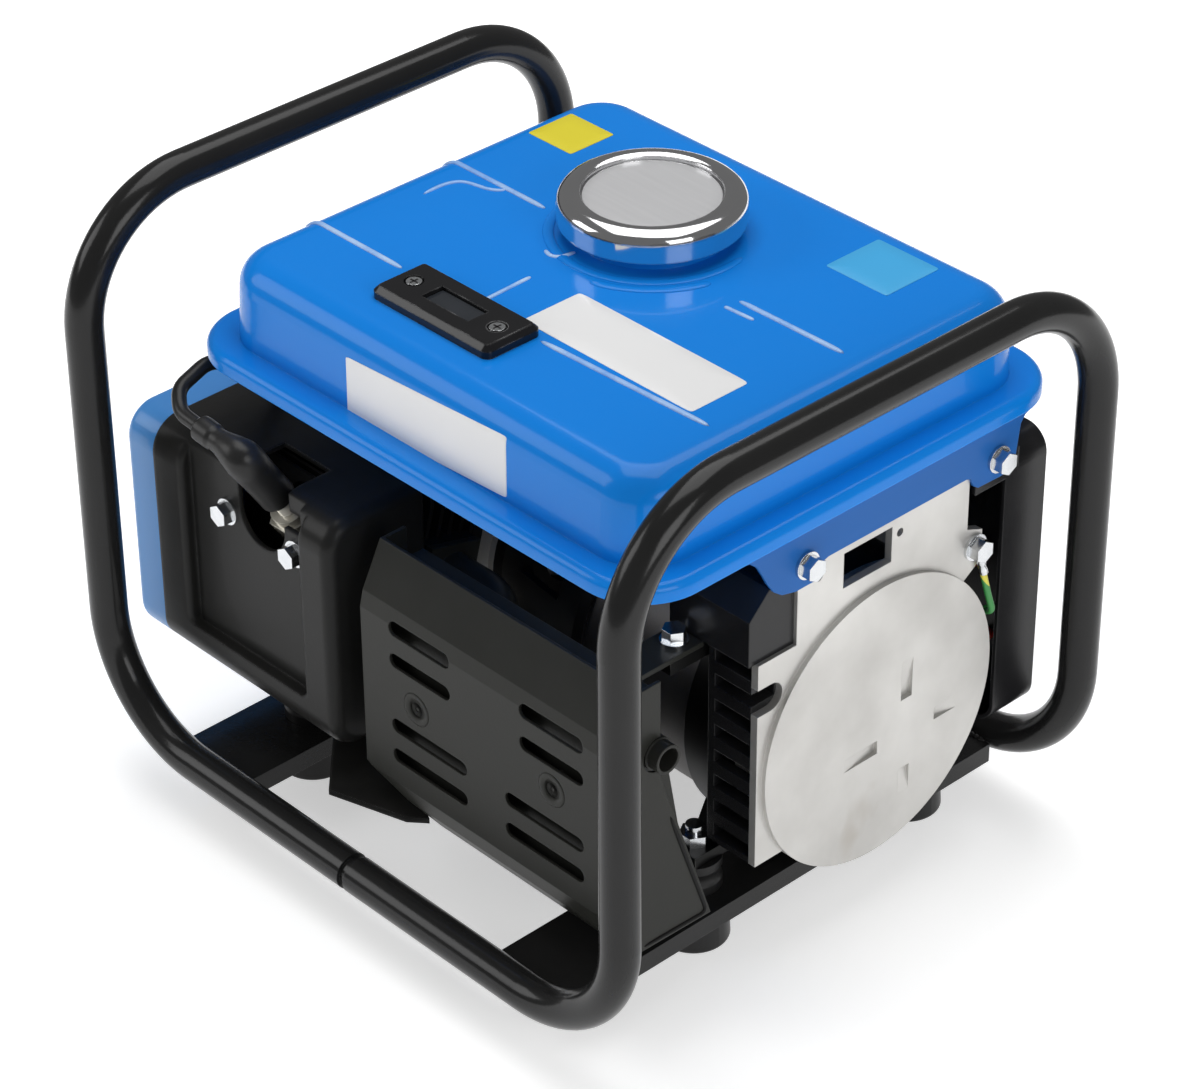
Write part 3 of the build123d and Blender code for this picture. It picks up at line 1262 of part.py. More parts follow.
def throttle_lever():
    """Throttle shaft along X with an upright arm on the starter side."""
    right = CYL_X - CARB_HALF - LEVER_GAP
    left = right - LEVER_THICK
    body = rod_x(left, CYL_X + CARB_HALF / 2 - LEVER_GAP, THROTTLE_Y, CRANK_Z, LEVER_PIN_R)
    body += rod_x(left, right, THROTTLE_Y, CRANK_Z, LEVER_HALF)
    top = CRANK_Z + THROTTLE_ARM
    body += box(left, right, THROTTLE_Y - LEVER_HALF, THROTTLE_Y + LEVER_HALF, CRANK_Z, top - LEVER_HALF)
    return body + rod_x(left, right, THROTTLE_Y, top - LEVER_HALF, LEVER_HALF)


def filter_block(y0, y1, inset):
    """Rounded block of the air filter, smaller by an inset."""
    half_x = FILTER_WIDTH / 2 - inset
    half_z = FILTER_HEIGHT / 2 - inset
    corner = FILTER_CORNER - inset
    return rounded_y(CYL_X - half_x, CYL_X + half_x, CRANK_Z - half_z, CRANK_Z + half_z, corner, y0, y1)


def air_filter_case():
    """Open tray on the carburettor with a throat hole."""
    seam = FILTER_Y + FILTER_DEPTH
    body = filter_block(FILTER_Y, seam, 0) - filter_block(FILTER_Y + FILTER_WALL, seam + 1, FILTER_WALL)
    return body - rod_y(FILTER_Y - 1, FILTER_Y + FILTER_WALL + 1, CYL_X, CRANK_Z, CARB_THROAT_R)


def air_filter_cover():
    """Lid of the air filter with three inlet slots."""
    seam = FILTER_Y + FILTER_DEPTH
    end = seam + FILTER_COVER
    body = filter_block(seam, end, 0)
    body = fillet(body.faces().sort_by(Axis.Y)[-1].edges(), FILTER_WALL)
    body -= filter_block(seam - 1, end - FILTER_WALL, FILTER_WALL)
    for i in (-1, 0, 1):
        z = CRANK_Z + i * 2 * SLOT_WIDTH
        body -= slot_y(CYL_X - SLOT_LONG / 2, CYL_X + SLOT_LONG / 2, z, end - 2 * FILTER_WALL, end + 1)
    return body


def alternator_bell():
    """Cone between crankcase and stator with air windows."""
    start = CYL_X + CASE_HALF
    seat = start + BELL_FLANGE
    end = STATOR_LEFT_X
    drum = STATOR_R + 2
    bore = BEARING_R
    inner = drum - BELL_WALL - 2
    profile = [
        (start, bore),
        (start, CASE_R),
        (seat, CASE_R),
        (end - BELL_FLANGE, drum),
        (end, drum),
        (end, inner),
        (end - BELL_FLANGE - 2, inner),
        (seat + 1, CASE_R - BELL_WALL - 1),
        (seat + 1, bore),
    ]
    body = turned(profile)
    window = Box(BELL_WINDOW_LENGTH, 2 * BELL_WINDOW_WIDTH, BELL_WINDOW_WIDTH)
    for i in range(BELL_WINDOW_COUNT):
        turn = Rot(360 / BELL_WINDOW_COUNT * (i + 0.5), 0, 0)
        x = (seat + end - BELL_FLANGE) / 2
        body -= Pos(x, CRANK_Y, CRANK_Z) * turn * Pos(0, drum, 0) * window
    return body


def stator_core():
    """Laminated ring with winding slots round its bore."""
    body = crank_rod(STATOR_LEFT_X, STATOR_RIGHT_X, STATOR_R)
    body -= crank_rod(STATOR_LEFT_X - 1, STATOR_RIGHT_X + 1, STATOR_BORE_R)
    middle = (STATOR_LEFT_X + STATOR_RIGHT_X) / 2
    slot = Box(STATOR_LENGTH + 2, 2 * STATOR_SLOT_DEPTH, STATOR_SLOT_WIDTH)
    for i in range(STATOR_SLOT_COUNT):
        turn = Rot(360 / STATOR_SLOT_COUNT * i, 0, 0)
        body -= Pos(middle, CRANK_Y, CRANK_Z) * turn * Pos(0, STATOR_BORE_R, 0) * slot
    return body


def stator_windings():
    """Wound end turns on both faces of the stator."""
    rings = []
    for low, high in (
        (STATOR_LEFT_X - WINDING_REACH, STATOR_LEFT_X),
        (STATOR_RIGHT_X, STATOR_RIGHT_X + WINDING_REACH),
    ):
        ring = crank_rod(low, high, WINDING_OUT_R) - crank_rod(low - 1, high + 1, WINDING_IN_R)
        outer = ring.edges().filter_by(GeomType.CIRCLE).sort_by(Axis.X)
        far = outer[:2] if high == STATOR_LEFT_X else outer[-2:]
        rings.append(fillet(far, WINDING_REACH / 3))
    return rings


def rotor():
    """Slotted rotor with a fan on its engine side, bored for the crankshaft."""
    left = STATOR_LEFT_X + ROTOR_MARGIN
    right = STATOR_RIGHT_X - ROTOR_MARGIN
    r = STATOR_BORE_R - AIR_GAP
    body = crank_rod(left, right, r)
    slot = Box(right - left + 2, 2 * ROTOR_SLOT_DEPTH, ROTOR_SLOT_WIDTH)
    for i in range(ROTOR_SLOT_COUNT):
        turn = Rot(360 / ROTOR_SLOT_COUNT * i, 0, 0)
        body -= Pos((left + right) / 2, CRANK_Y, CRANK_Z) * turn * Pos(0, r, 0) * slot
    fan_end = ROTOR_FAN_X + ROTOR_FAN_WIDTH
    body += crank_rod(ROTOR_FAN_X, left + 1, FLYWHEEL_HUB_R)
    body += crank_rod(fan_end - FAN_BLADE_THICK, fan_end, ROTOR_FAN_R)
    length = ROTOR_FAN_R - FLYWHEEL_HUB_R
    blade = Box(ROTOR_FAN_WIDTH, length, FAN_BLADE_THICK)
    for i in range(ROTOR_FAN_BLADES):
        turn = Rot(360 / ROTOR_FAN_BLADES * i, 0, 0)
        x = ROTOR_FAN_X + ROTOR_FAN_WIDTH / 2
        body += Pos(x, CRANK_Y, CRANK_Z) * turn * Pos(0, FLYWHEEL_HUB_R + length / 2 - 1, 0) * blade
    return body - crank_rod(ROTOR_FAN_X - 1, right + 1, SHAFT_R)


PLATE_OUTLINE = [
    (PLATE_LEFT_Y, PLATE_LOW_Z),
    (PLATE_LEFT_Y, PLATE_SHOULDER_Z),
    (PLATE_NECK_Y, PLATE_SHOULDER_Z),
    (PLATE_NECK_Y, CAPACITOR_TOP_Z),
    (PLATE_NECK_Y - 7, CAPACITOR_TOP_Z + 1.5),
    (PLATE_NECK_Y - 7, PLATE_TOP_Z),
    (PLATE_NECK_BACK_Y - 4, PLATE_TOP_Z),
    (PLATE_NECK_BACK_Y, PLATE_TOP_Z - 4),
    (PLATE_NECK_BACK_Y, EARTH_BOLT_Z + EARTH_EAR + 2),
    (EARTH_BOLT_Y + EARTH_EAR - 4, EARTH_BOLT_Z + EARTH_EAR - 2),
    (EARTH_BOLT_Y + EARTH_EAR - 4, EARTH_BOLT_Z - EARTH_EAR),
    (PLATE_NECK_BACK_Y - 2, EARTH_BOLT_Z - EARTH_EAR - 8),
    (CRANK_Y, CRANK_Z),
    (PLATE_LEFT_Y + 20, PLATE_LOW_Z),
]


def ear(y, towards):
    """Foot of the alternator on a right isolator, with a web up to the drum."""
    tip = y - towards * EAR_HALF_Y
    web = y + towards * EAR_HALF_Y
    low = SEAT_Z
    top = SEAT_Z + EAR_THICK
    points = [
        (tip, low),
        (tip, top),
        (web, top),
        (web + towards * EAR_GUSSET / 2, top + EAR_GUSSET),
        (web + towards * EAR_GUSSET * 1.4, top + EAR_GUSSET / 2),
        (web + towards * EAR_GUSSET * 1.4, low),
    ]
    return prism_x(points, STATOR_RIGHT_X + 1, RAIL_X + EAR_HALF_X)


def alternator_end_plate():
    """End casting: plate with a raised disc, drum, bearing hub, feet and muffler lug."""
    back = PLATE_BACK_X
    drum = crank_rod(STATOR_RIGHT_X, back + 1, DRUM_R)
    lug_y = STRAP_BOLT_Y - STRAP_HALF
    drum += box(LUG_X - LUG_HALF, LUG_X + LUG_HALF, lug_y, CRANK_Y, LUG_TOP_Z - LUG_THICK, LUG_TOP_Z)
    drum += ear(RIGHT_MOUNT_FRONT_Y, 1)
    drum += ear(MOUNT_BACK_Y, -1)
    drum -= crank_rod(STATOR_RIGHT_X - 1, back, DRUM_R - DRUM_WALL)
    body = prism_x(PLATE_OUTLINE, back, END_PLATE_X)
    body += crank_rod(back, END_PLATE_X + END_DISC_RISE, END_DISC_R)
    body += drum
    body += crank_rod(back - TAIL_BEARING_WIDTH, back + 1, HUB_R)
    body -= crank_rod(back - TAIL_BEARING_WIDTH - 1, back, TAIL_BEARING_R)
    body -= box(back - 1, END_PLATE_X + 1, *PLATE_WINDOW)
    notch_y0, notch_y1, notch_z0, notch_z1 = PLATE_NOTCH
    notch_r = (notch_z1 - notch_z0) / 2
    body -= box(back - 1, END_PLATE_X + 1, notch_y0, notch_y1 - notch_r, notch_z0, notch_z1)
    body -= rod_x(back - 1, END_PLATE_X + 1, notch_y1 - notch_r, notch_z0 + notch_r, notch_r)
    for y in PLATE_HOLE_YS:
        body -= rod_x(back - 1, END_PLATE_X + 1, y, PLATE_HOLE_Z, PLATE_HOLE_R)
    face = END_PLATE_X + END_DISC_RISE
    for i, (start, length) in enumerate(DENT_RUNS):
        wedge = [(start, face + 1), (start, face - DENT_DEPTH), (start + length, face + 1)]
        side = Polyline(*[(x, -DENT_WIDTH / 2, z) for z, x in wedge], close=True)
        dent = extrude(make_face(side), amount=DENT_WIDTH, dir=(0, 1, 0))
        body -= Pos(0, DENT_Y, DENT_Z) * Rot(90 * i, 0, 0) * dent
    for x, y, seat in MOUNTS[2:]:
        body -= rod_z(SEAT_Z - 1, seat + 1, x, y, STUD_R + HOLE_CLEAR)
    body -= bolt_hole(TANK_BOLTS[0], (1, 0, 0))
    body -= bolt_hole(EARTH_BOLT, (1, 0, 0))
    return body - bolt_hole(STRAP_BOLT, (0, 0, 1))


def vent_louvre():
    """Slatted vent beside the alternator's drum."""
    right = PLATE_BACK_X
    back_y = PLATE_LEFT_Y + LOUVRE_DEPTH
    body = box(LOUVRE_LEFT_X, right, PLATE_LEFT_Y, back_y, PLATE_LOW_Z, PLATE_SHOULDER_Z)
    body -= crank_rod(LOUVRE_LEFT_X - 1, right + 1, DRUM_R + HOLE_CLEAR)
    pitch = (PLATE_SHOULDER_Z - PLATE_LOW_Z) / LOUVRE_FIN_COUNT
    deep = PLATE_LEFT_Y + LOUVRE_SLOT_DEPTH
    for i in range(LOUVRE_FIN_COUNT):
        z = PLATE_LOW_Z + (i + 0.5) * pitch
        half = LOUVRE_SLOT / 2
        slot = box(LOUVRE_LEFT_X + LOUVRE_FRAME, right + 1, PLATE_LEFT_Y - 1, deep, z - half, z + half)
        body -= slot
    return body


def capacitor_box():
    """Plain box over the louvre with a chamfered top edge."""
    right = PLATE_BACK_X + END_PLATE_THICK / 2
    body = box(
        CAPACITOR_LEFT_X, right, CAPACITOR_FRONT_Y, PLATE_NECK_Y, PLATE_SHOULDER_Z, CAPACITOR_TOP_Z
    )
    edge = body.edges().filter_by(Axis.X).sort_by(lambda e: e.center().Z - e.center().Y)[-1]
    return chamfer(edge, CAPACITOR_CHAMFER)


def tank_block(inset, corner, z0, z1, taper=0):
    """Rounded block on the tank's outline, smaller by an inset."""
    return rounded_z(
        FLANGE_LEFT_X + inset,
        FLANGE_RIGHT_X - inset,
        FLANGE_FRONT_Y + inset,
        FLANGE_BACK_Y - inset,
        corner,
        z0,
        z1,
        taper,
    )


def tank_upper():
    """Pressed upper tank shell with its rolled flange and filler neck."""
    flange_top = FLANGE_LOW_Z + FLANGE_THICK
    flange = tank_block(0, FLANGE_CORNER, FLANGE_LOW_Z, flange_top)
    flange = fillet(flange.faces().sort_by(Axis.Z)[-1].edges(), FLANGE_ROLL)
    flange = fillet(flange.faces().sort_by(Axis.Z)[0].edges(), FLANGE_LIP)
    shell = tank_block(TANK_INSET, TANK_CORNER, FLANGE_LOW_Z + FLANGE_LIP, TANK_TOP_Z, TANK_TAPER)
    shell = fillet(shell.faces().sort_by(Axis.Z)[-1].edges(), TANK_EDGE)
    inset = TANK_INSET + TANK_WALL
    ceiling = TANK_TOP_Z - TANK_WALL
    space = tank_block(inset, TANK_CORNER - TANK_WALL, FLANGE_LOW_Z - 1, ceiling, TANK_TAPER)
    space = fillet(space.faces().sort_by(Axis.Z)[-1].edges(), TANK_EDGE - TANK_WALL)
    body = flange + shell - space
    body += rod_z(ceiling, NECK_TOP, FILLER_X, FILLER_Y, NECK_R)
    body -= rod_z(ceiling - 1, NECK_TOP + 1, FILLER_X, FILLER_Y, NECK_BORE_R)
    half_x = GAUGE_WINDOW_LENGTH / 2 + GAUGE_WELL_WALL
    half_y = GAUGE_WINDOW_WIDTH / 2 + GAUGE_WELL_WALL
    body -= box(
        GAUGE_X - half_x, GAUGE_X + half_x, GAUGE_Y - half_y, GAUGE_Y + half_y, ceiling - 1, TANK_TOP_Z + 1
    )
    for x in GAUGE_SCREW_XS:
        body -= rod_z(ceiling - 1, TANK_TOP_Z + 1, x, GAUGE_Y, GAUGE_SCREW_R)
    return body


def tank_lower():
    """Pressed lower tray with a narrow flange under the upper shell."""
    body = tank_block(TRAY_INSET, TRAY_CORNER, TRAY_LOW_Z, FLANGE_LOW_Z)
    body = fillet(body.faces().sort_by(Axis.Z)[0].edges(), TRAY_EDGE)
    corner = FLANGE_CORNER - TRAY_FLANGE_INSET
    body += tank_block(TRAY_FLANGE_INSET, corner, FLANGE_LOW_Z - TRAY_WALL, FLANGE_LOW_Z)
    corner = TRAY_CORNER - TRAY_WALL
    body -= tank_block(TRAY_INSET + TRAY_WALL, corner, TRAY_LOW_Z + TRAY_WALL, FLANGE_LOW_Z + 1)
    return body - rod_z(TRAY_LOW_Z - 1, TRAY_LOW_Z + 2 * TRAY_WALL, TAP_X, TAP_Y, TAP_SPIGOT_R)


def right_bracket():
    """Upright sheet under the tank's right edge with two bolt tabs."""
    x0 = END_PLATE_X
    x1 = x0 + BRACKET_THICK
    body = prism_x([(y, FLANGE_LOW_Z - drop) for y, drop in BRACKET_EDGE], x0, x1)
    for point in TANK_BOLTS:
        body -= bolt_hole(point, (1, 0, 0))
    return body


def left_bracket():
    """Z-shaped sheet from the shroud's top up to the tank's left edge."""
    thick = BRACKET_THICK
    leg = LEFT_LEG_X - thick
    top = FLANGE_LOW_Z - TRAY_WALL
    y0 = LEFT_LEG_Y0
    y1 = LEFT_LEG_Y1
    body = box(leg, LEFT_LEG_X, y0, y1, SHROUD_TOP_Z, top)
    body += box(leg - LEFT_LEG_FOOT, LEFT_LEG_X, y0, y1, SHROUD_TOP_Z, SHROUD_TOP_Z + thick)
    body += box(leg - LEFT_LEG_FOOT / 2, LEFT_LEG_X, y0, y1, top - thick, top)
    for point in LEG_BOLTS:
        body -= bolt_hole(point, (0, 0, 1))
    return body


def cap_gasket():
    """Flat ring on the filler neck."""
    body = rod_z(NECK_TOP, CAP_LOW_Z, FILLER_X, FILLER_Y, GASKET_OUT_R)
    return body - rod_z(NECK_TOP - 1, CAP_LOW_Z + 1, FILLER_X, FILLER_Y, GASKET_IN_R)


def filler_cap():
    """Dished round cap with a plug in the neck."""
    top = CAP_LOW_Z + CAP_HEIGHT
    body = rod_z(CAP_LOW_Z, top, FILLER_X, FILLER_Y, CAP_R)
    body = fillet(body.faces().sort_by(Axis.Z)[-1].edges(), CAP_EDGE)
    body -= rod_z(top - CAP_DISH, top + 1, FILLER_X, FILLER_Y, CAP_DISH_R)
    return body + rod_z(CAP_LOW_Z - CAP_PLUG, CAP_LOW_Z + 1, FILLER_X, FILLER_Y, CAP_PLUG_R)


def gauge_bezel():
    """Gauge frame on the tank's top with a well that carries the float's pin."""
    top = TANK_TOP_Z + GAUGE_HEIGHT
    half_x = GAUGE_LENGTH / 2
    half_y = GAUGE_WIDTH / 2
    sides = (GAUGE_X - half_x, GAUGE_X + half_x, GAUGE_Y - half_y, GAUGE_Y + half_y)
    body = rounded_z(*sides, GAUGE_CORNER, TANK_TOP_Z, top)
    body = chamfer(body.faces().sort_by(Axis.Z)[-1].edges(), GAUGE_BEVEL)
    wx = GAUGE_WINDOW_LENGTH / 2
    wy = GAUGE_WINDOW_WIDTH / 2
    wall = GAUGE_WELL_WALL - HOLE_CLEAR
    low = FLOAT_Z - GAUGE_EAR_DROP / 2
    x0, x1 = GAUGE_X - wx - wall, GAUGE_X + wx + wall
    body += box(x0, x1, GAUGE_Y - wy - wall, GAUGE_Y + wy + wall, low, TANK_TOP_Z + 1)
    body -= box(GAUGE_X - wx, GAUGE_X + wx, GAUGE_Y - wy, GAUGE_Y + wy, low - 1, top + 1)
    slot = FLOAT_HUB_R
    body -= box(GAUGE_X, x1 + 1, GAUGE_Y - slot, GAUGE_Y + slot, low - 1, FLOAT_Z + FLOAT_HUB_R)
    body -= rod_y(GAUGE_Y - wy - wall - 1, GAUGE_Y + wy + wall + 1, GAUGE_X, FLOAT_Z, FLOAT_PIN_R + RUN_FIT)
    for x in GAUGE_SCREW_XS:
        body -= rod_z(TANK_TOP_Z - 1, top + 1, x, GAUGE_Y, GAUGE_SCREW_R)
        body -= rod_z(top - GAUGE_SCREW_HEAD, top + 1, x, GAUGE_Y, 2 * GAUGE_SCREW_R + 1)
    return body


def gauge_screw(x):
    """Small cheese-head screw in the gauge frame."""
    seat = TANK_TOP_Z + GAUGE_HEIGHT - GAUGE_SCREW_HEAD
    body = rod_z(TANK_TOP_Z - TANK_WALL, seat, x, GAUGE_Y, GAUGE_SCREW_R)
    return body + rod_z(seat, seat + GAUGE_SCREW_HEAD, x, GAUGE_Y, 2 * GAUGE_SCREW_R)


def fuel_float():
    """Float, arm, pin and pointer, hanging at the empty stop."""
    wy = GAUGE_WINDOW_WIDTH / 2 + GAUGE_WELL_WALL - HOLE_CLEAR
    body = rod_y(GAUGE_Y - wy, GAUGE_Y + wy, GAUGE_X, FLOAT_Z, FLOAT_PIN_R)
    body += rod_y(GAUGE_Y - FLOAT_HUB_R, GAUGE_Y + FLOAT_HUB_R, GAUGE_X, FLOAT_Z, FLOAT_HUB_R)
    droop = radians(FLOAT_DROOP)
    way = Vector(cos(droop), 0, -sin(droop))
    pivot = Vector(GAUGE_X, GAUGE_Y, FLOAT_Z)
    body += facing(pivot, way) * bar(0, FLOAT_ARM, FLOAT_ARM_R)
    end = pivot + way * FLOAT_ARM
    half = FLOAT_LENGTH / 2
    body += rod_y(GAUGE_Y - half, GAUGE_Y + half, end.X, end.Z, FLOAT_R)
    tip = TANK_TOP_Z - POINTER_SHORT
    return body + box(
        GAUGE_X - POINTER_HALF,
        GAUGE_X + POINTER_HALF,
        GAUGE_Y - POINTER_HALF,
        GAUGE_Y + POINTER_HALF,
        FLOAT_Z,
        tip,
    )


TAP_LOW_Z = TRAY_LOW_Z - TAP_LENGTH
TAP_LEVER_Z = TRAY_LOW_Z - TAP_LENGTH / 2


def fuel_tap():
    """Fuel tap under the tray with a hose spigot and a lever hole."""
    body = rod_z(TAP_LOW_Z, TRAY_LOW_Z, TAP_X, TAP_Y, TAP_R)
    body += rod_z(TAP_LOW_Z - TAP_SPIGOT, TAP_LOW_Z + 1, TAP_X, TAP_Y, TAP_SPIGOT_R)
    body -= rod_z(TAP_LOW_Z - TAP_SPIGOT - 1, TRAY_LOW_Z + 1, TAP_X, TAP_Y, TAP_SPIGOT_R / 2)
    return body - rod_y(TAP_Y, TAP_Y + TAP_R + 1, TAP_X, TAP_LEVER_Z, LEVER_PIN_R + RUN_FIT)


def fuel_tap_lever():
    """Lever on the tap's back, hanging down when the fuel is on."""
    near = TAP_Y + TAP_R + LEVER_GAP
    far = near + LEVER_THICK
    body = rod_y(TAP_Y + LEVER_GAP, far, TAP_X, TAP_LEVER_Z, LEVER_PIN_R)
    body += rod_y(near, far, TAP_X, TAP_LEVER_Z, LEVER_HALF + 1)
    half = LEVER_HALF
    low = TAP_LEVER_Z - TAP_LEVER_ARM
    return body + box(TAP_X - half, TAP_X + half, near, far, low, TAP_LEVER_Z)


def fuel_hose():
    """Rubber hose from the tap's spigot to the carburettor's nipple."""
    points = [
        (CYL_X + CARB_HALF + LEVER_GAP, TAP_Y, INLET_Z),
        (TAP_X, TAP_Y, INLET_Z),
        (TAP_X, TAP_Y, TAP_LOW_Z - TAP_SPIGOT + HOSE_LAP),
    ]
    path = FilletPolyline(*points, radius=HOSE_BEND_R)
    section = Plane(origin=path @ 0, z_dir=path % 0) * (Circle(HOSE_R) - Circle(TAP_SPIGOT_R))
    return sweep(section, path=path)


SOCKET_FACE_Y = PANEL_BACK_Y + SOCKET_FLANGE_THICK
FLAP_Y = SOCKET_FACE_Y + FLAP_KNUCKLE_R
FLAP_Z = SOCKET_Z + SOCKET_FLANGE / 2 + FLAP_KNUCKLE_R + FLAP_GAP
SWITCH_Y = PANEL_BACK_Y + SWITCH_FRAME / 2
METER_FACE_Y = PANEL_BACK_Y + METER_BEZEL
METER_DIAL_Y = PANEL_BACK_Y + METER_BEZEL / 4
NEEDLE_Z = METER_Z - METER_PIVOT_DROP


def panel_block(y0, y1, inset):
    """Rounded block on the panel's outline, smaller by an inset."""
    return rounded_y(
        PANEL_LEFT_X + inset,
        END_PLATE_X - inset,
        PANEL_LOW_Z + inset,
        PANEL_TOP_Z - inset,
        PANEL_CORNER - inset,
        y0,
        y1,
    )


def control_panel():
    """Open-backed panel box with switch frame, breaker guide and meter housing on its face."""
    wall = PANEL_WALL
    inner_y = PANEL_BACK_Y - wall
    body = panel_block(PANEL_FRONT_Y, PANEL_BACK_Y, 0) - panel_block(PANEL_FRONT_Y - 1, inner_y, wall)
    right = END_PLATE_X
    body += box(right - wall, right, PANEL_TAB_Y, PANEL_FRONT_Y + 1, PANEL_TAB_LOW_Z, PANEL_UPSTAND_Z)
    body += box(
        END_PLATE_X - wall, END_PLATE_X, PANEL_FRONT_Y, PANEL_FRONT_Y + 8, PANEL_TAB_LOW_Z - 6, PANEL_TOP_Z
    )
    body += box(
        SWITCH_X - SWITCH_HALF_WIDTH - SWITCH_FRAME,
        SWITCH_X + SWITCH_HALF_WIDTH + SWITCH_FRAME,
        inner_y,
        PANEL_BACK_Y + SWITCH_FRAME,
        SWITCH_Z - SWITCH_HALF_HEIGHT - SWITCH_FRAME,
        SWITCH_Z + SWITCH_HALF_HEIGHT + SWITCH_FRAME,
    )
    side = SWITCH_HALF_WIDTH + LEVER_GAP
    tall = SWITCH_HALF_HEIGHT + 1.5
    body -= box(
        SWITCH_X - side, SWITCH_X + side, inner_y - 1, METER_FACE_Y, SWITCH_Z - tall, SWITCH_Z + tall
    )
    pin = SWITCH_HALF_WIDTH + SWITCH_FRAME
    body -= rod_x(SWITCH_X - pin, SWITCH_X + pin, SWITCH_Y, SWITCH_Z, SWITCH_PIN_R + RUN_FIT)
    body += rod_y(inner_y, PANEL_BACK_Y + BREAKER_GUIDE, BREAKER_X, BREAKER_Z, BREAKER_GUIDE_R)
    body -= rod_y(inner_y - 1, METER_FACE_Y + 1, BREAKER_X, BREAKER_Z, BREAKER_R + RUN_FIT)
    half = METER_HALF
    sides = (METER_X - half, METER_X + half, METER_Z - half, METER_Z + half)
    body += rounded_y(*sides, 4, inner_y, METER_FACE_Y)
    body -= rod_y(METER_DIAL_Y, METER_FACE_Y + 1, METER_X, METER_Z, METER_DIAL_R)
    body += rod_y(METER_DIAL_Y - 1, METER_FACE_Y - 0.8, METER_X, NEEDLE_Z, NEEDLE_PIN_R)
    body -= rod_y(inner_y - 1, PANEL_BACK_Y + 1, SOCKET_X, SOCKET_Z, SOCKET_BODY_R + HOLE_CLEAR)
    for x in TERMINAL_XS:
        body -= rod_y(inner_y - 1, PANEL_BACK_Y + 1, x, TERMINAL_Z, TERMINAL_STEM_R + HOLE_CLEAR)
    return body - bolt_hole(TANK_BOLTS[1], (1, 0, 0))


def ac_socket():
    """Mains socket with a round well, two contact holes and hinge ears for its flap."""
    half = SOCKET_FLANGE / 2
    low_y = PANEL_BACK_Y - SOCKET_BODY
    sides = (SOCKET_X - half, SOCKET_X + half, SOCKET_Z - half, SOCKET_Z + half)
    body = rounded_y(*sides, SOCKET_CORNER, PANEL_BACK_Y, SOCKET_FACE_Y)
    body += rod_y(low_y, PANEL_BACK_Y + 1, SOCKET_X, SOCKET_Z, SOCKET_BODY_R)
    for side in (-1, 1):
        inner = SOCKET_X + side * (FLAP_KNUCKLE / 2 + FLAP_GAP)
        outer = inner + side * FLAP_EAR
        x0 = min(inner, outer)
        x1 = max(inner, outer)
        body += rod_x(x0, x1, FLAP_Y, FLAP_Z, FLAP_KNUCKLE_R)
        body += box(x0, x1, PANEL_BACK_Y, FLAP_Y, SOCKET_Z + half - 1, FLAP_Z)
        body -= rod_x(x0 - 1, x1 + 1, FLAP_Y, FLAP_Z, FLAP_PIN_R + RUN_FIT)
    floor = SOCKET_FACE_Y - SOCKET_WELL
    body -= rod_y(floor, SOCKET_FACE_Y + 1, SOCKET_X, SOCKET_Z, SOCKET_WELL_R)
    for side in (-1, 1):
        x = SOCKET_X + side * SOCKET_PIN_PITCH / 2
        body -= rod_y(low_y + 1, floor + 1, x, SOCKET_Z, SOCKET_PIN_R)
    return body


def socket_flap():
    """Hinged cover over the socket's well."""
    half = SOCKET_FLANGE / 2 - 2
    near = SOCKET_FACE_Y + FLAP_GAP
    far = near + FLAP_THICK
    narrow = FLAP_KNUCKLE / 2
    sides = (SOCKET_X - half, SOCKET_X + half, SOCKET_Z - half, SOCKET_Z + half)
    body = rounded_y(*sides, SOCKET_CORNER, near, far)
    body += box(SOCKET_X - narrow, SOCKET_X + narrow, near, far, SOCKET_Z, FLAP_Z)
    body += rod_x(SOCKET_X - narrow, SOCKET_X + narrow, FLAP_Y, FLAP_Z, FLAP_KNUCKLE_R)
    pin = narrow + FLAP_GAP + FLAP_EAR
    return body + rod_x(SOCKET_X - pin, SOCKET_X + pin, FLAP_Y, FLAP_Z, FLAP_PIN_R)


def dc_terminals():
    """Two screw terminals on the panel."""
    posts = []
    for x in TERMINAL_XS:
        post = rod_y(PANEL_BACK_Y, PANEL_BACK_Y + TERMINAL_REACH, x, TERMINAL_Z, TERMINAL_R)
        post = chamfer(post.faces().sort_by(Axis.Y)[-1].edges(), 1)
        stem = rod_y(PANEL_BACK_Y - TERMINAL_REACH, PANEL_BACK_Y + 1, x, TERMINAL_Z, TERMINAL_STEM_R)
        posts.append(post + stem)
    return posts


def engine_switch():
    """Rocker on a pin, lying in its first position."""
    body = Box(2 * SWITCH_HALF_WIDTH, 2 * SWITCH_FRAME + 2, 2 * SWITCH_HALF_HEIGHT)
    body += Rot(0, 90, 0) * Cylinder(SWITCH_PIN_R, 2 * SWITCH_HALF_WIDTH + SWITCH_FRAME)
    return Pos(SWITCH_X, SWITCH_Y, SWITCH_Z) * Rot(-SWITCH_THROW / 2, 0, 0) * body


def breaker_button():
    """Push button with a collar behind the panel."""
    inner_y = PANEL_BACK_Y - PANEL_WALL - LEVER_GAP
    body = rod_y(inner_y - BREAKER_TAIL, PANEL_BACK_Y + BREAKER_REACH, BREAKER_X, BREAKER_Z, BREAKER_R)
    return body + rod_y(inner_y - BREAKER_TAIL / 2, inner_y, BREAKER_X, BREAKER_Z, BREAKER_GUIDE_R - 1)


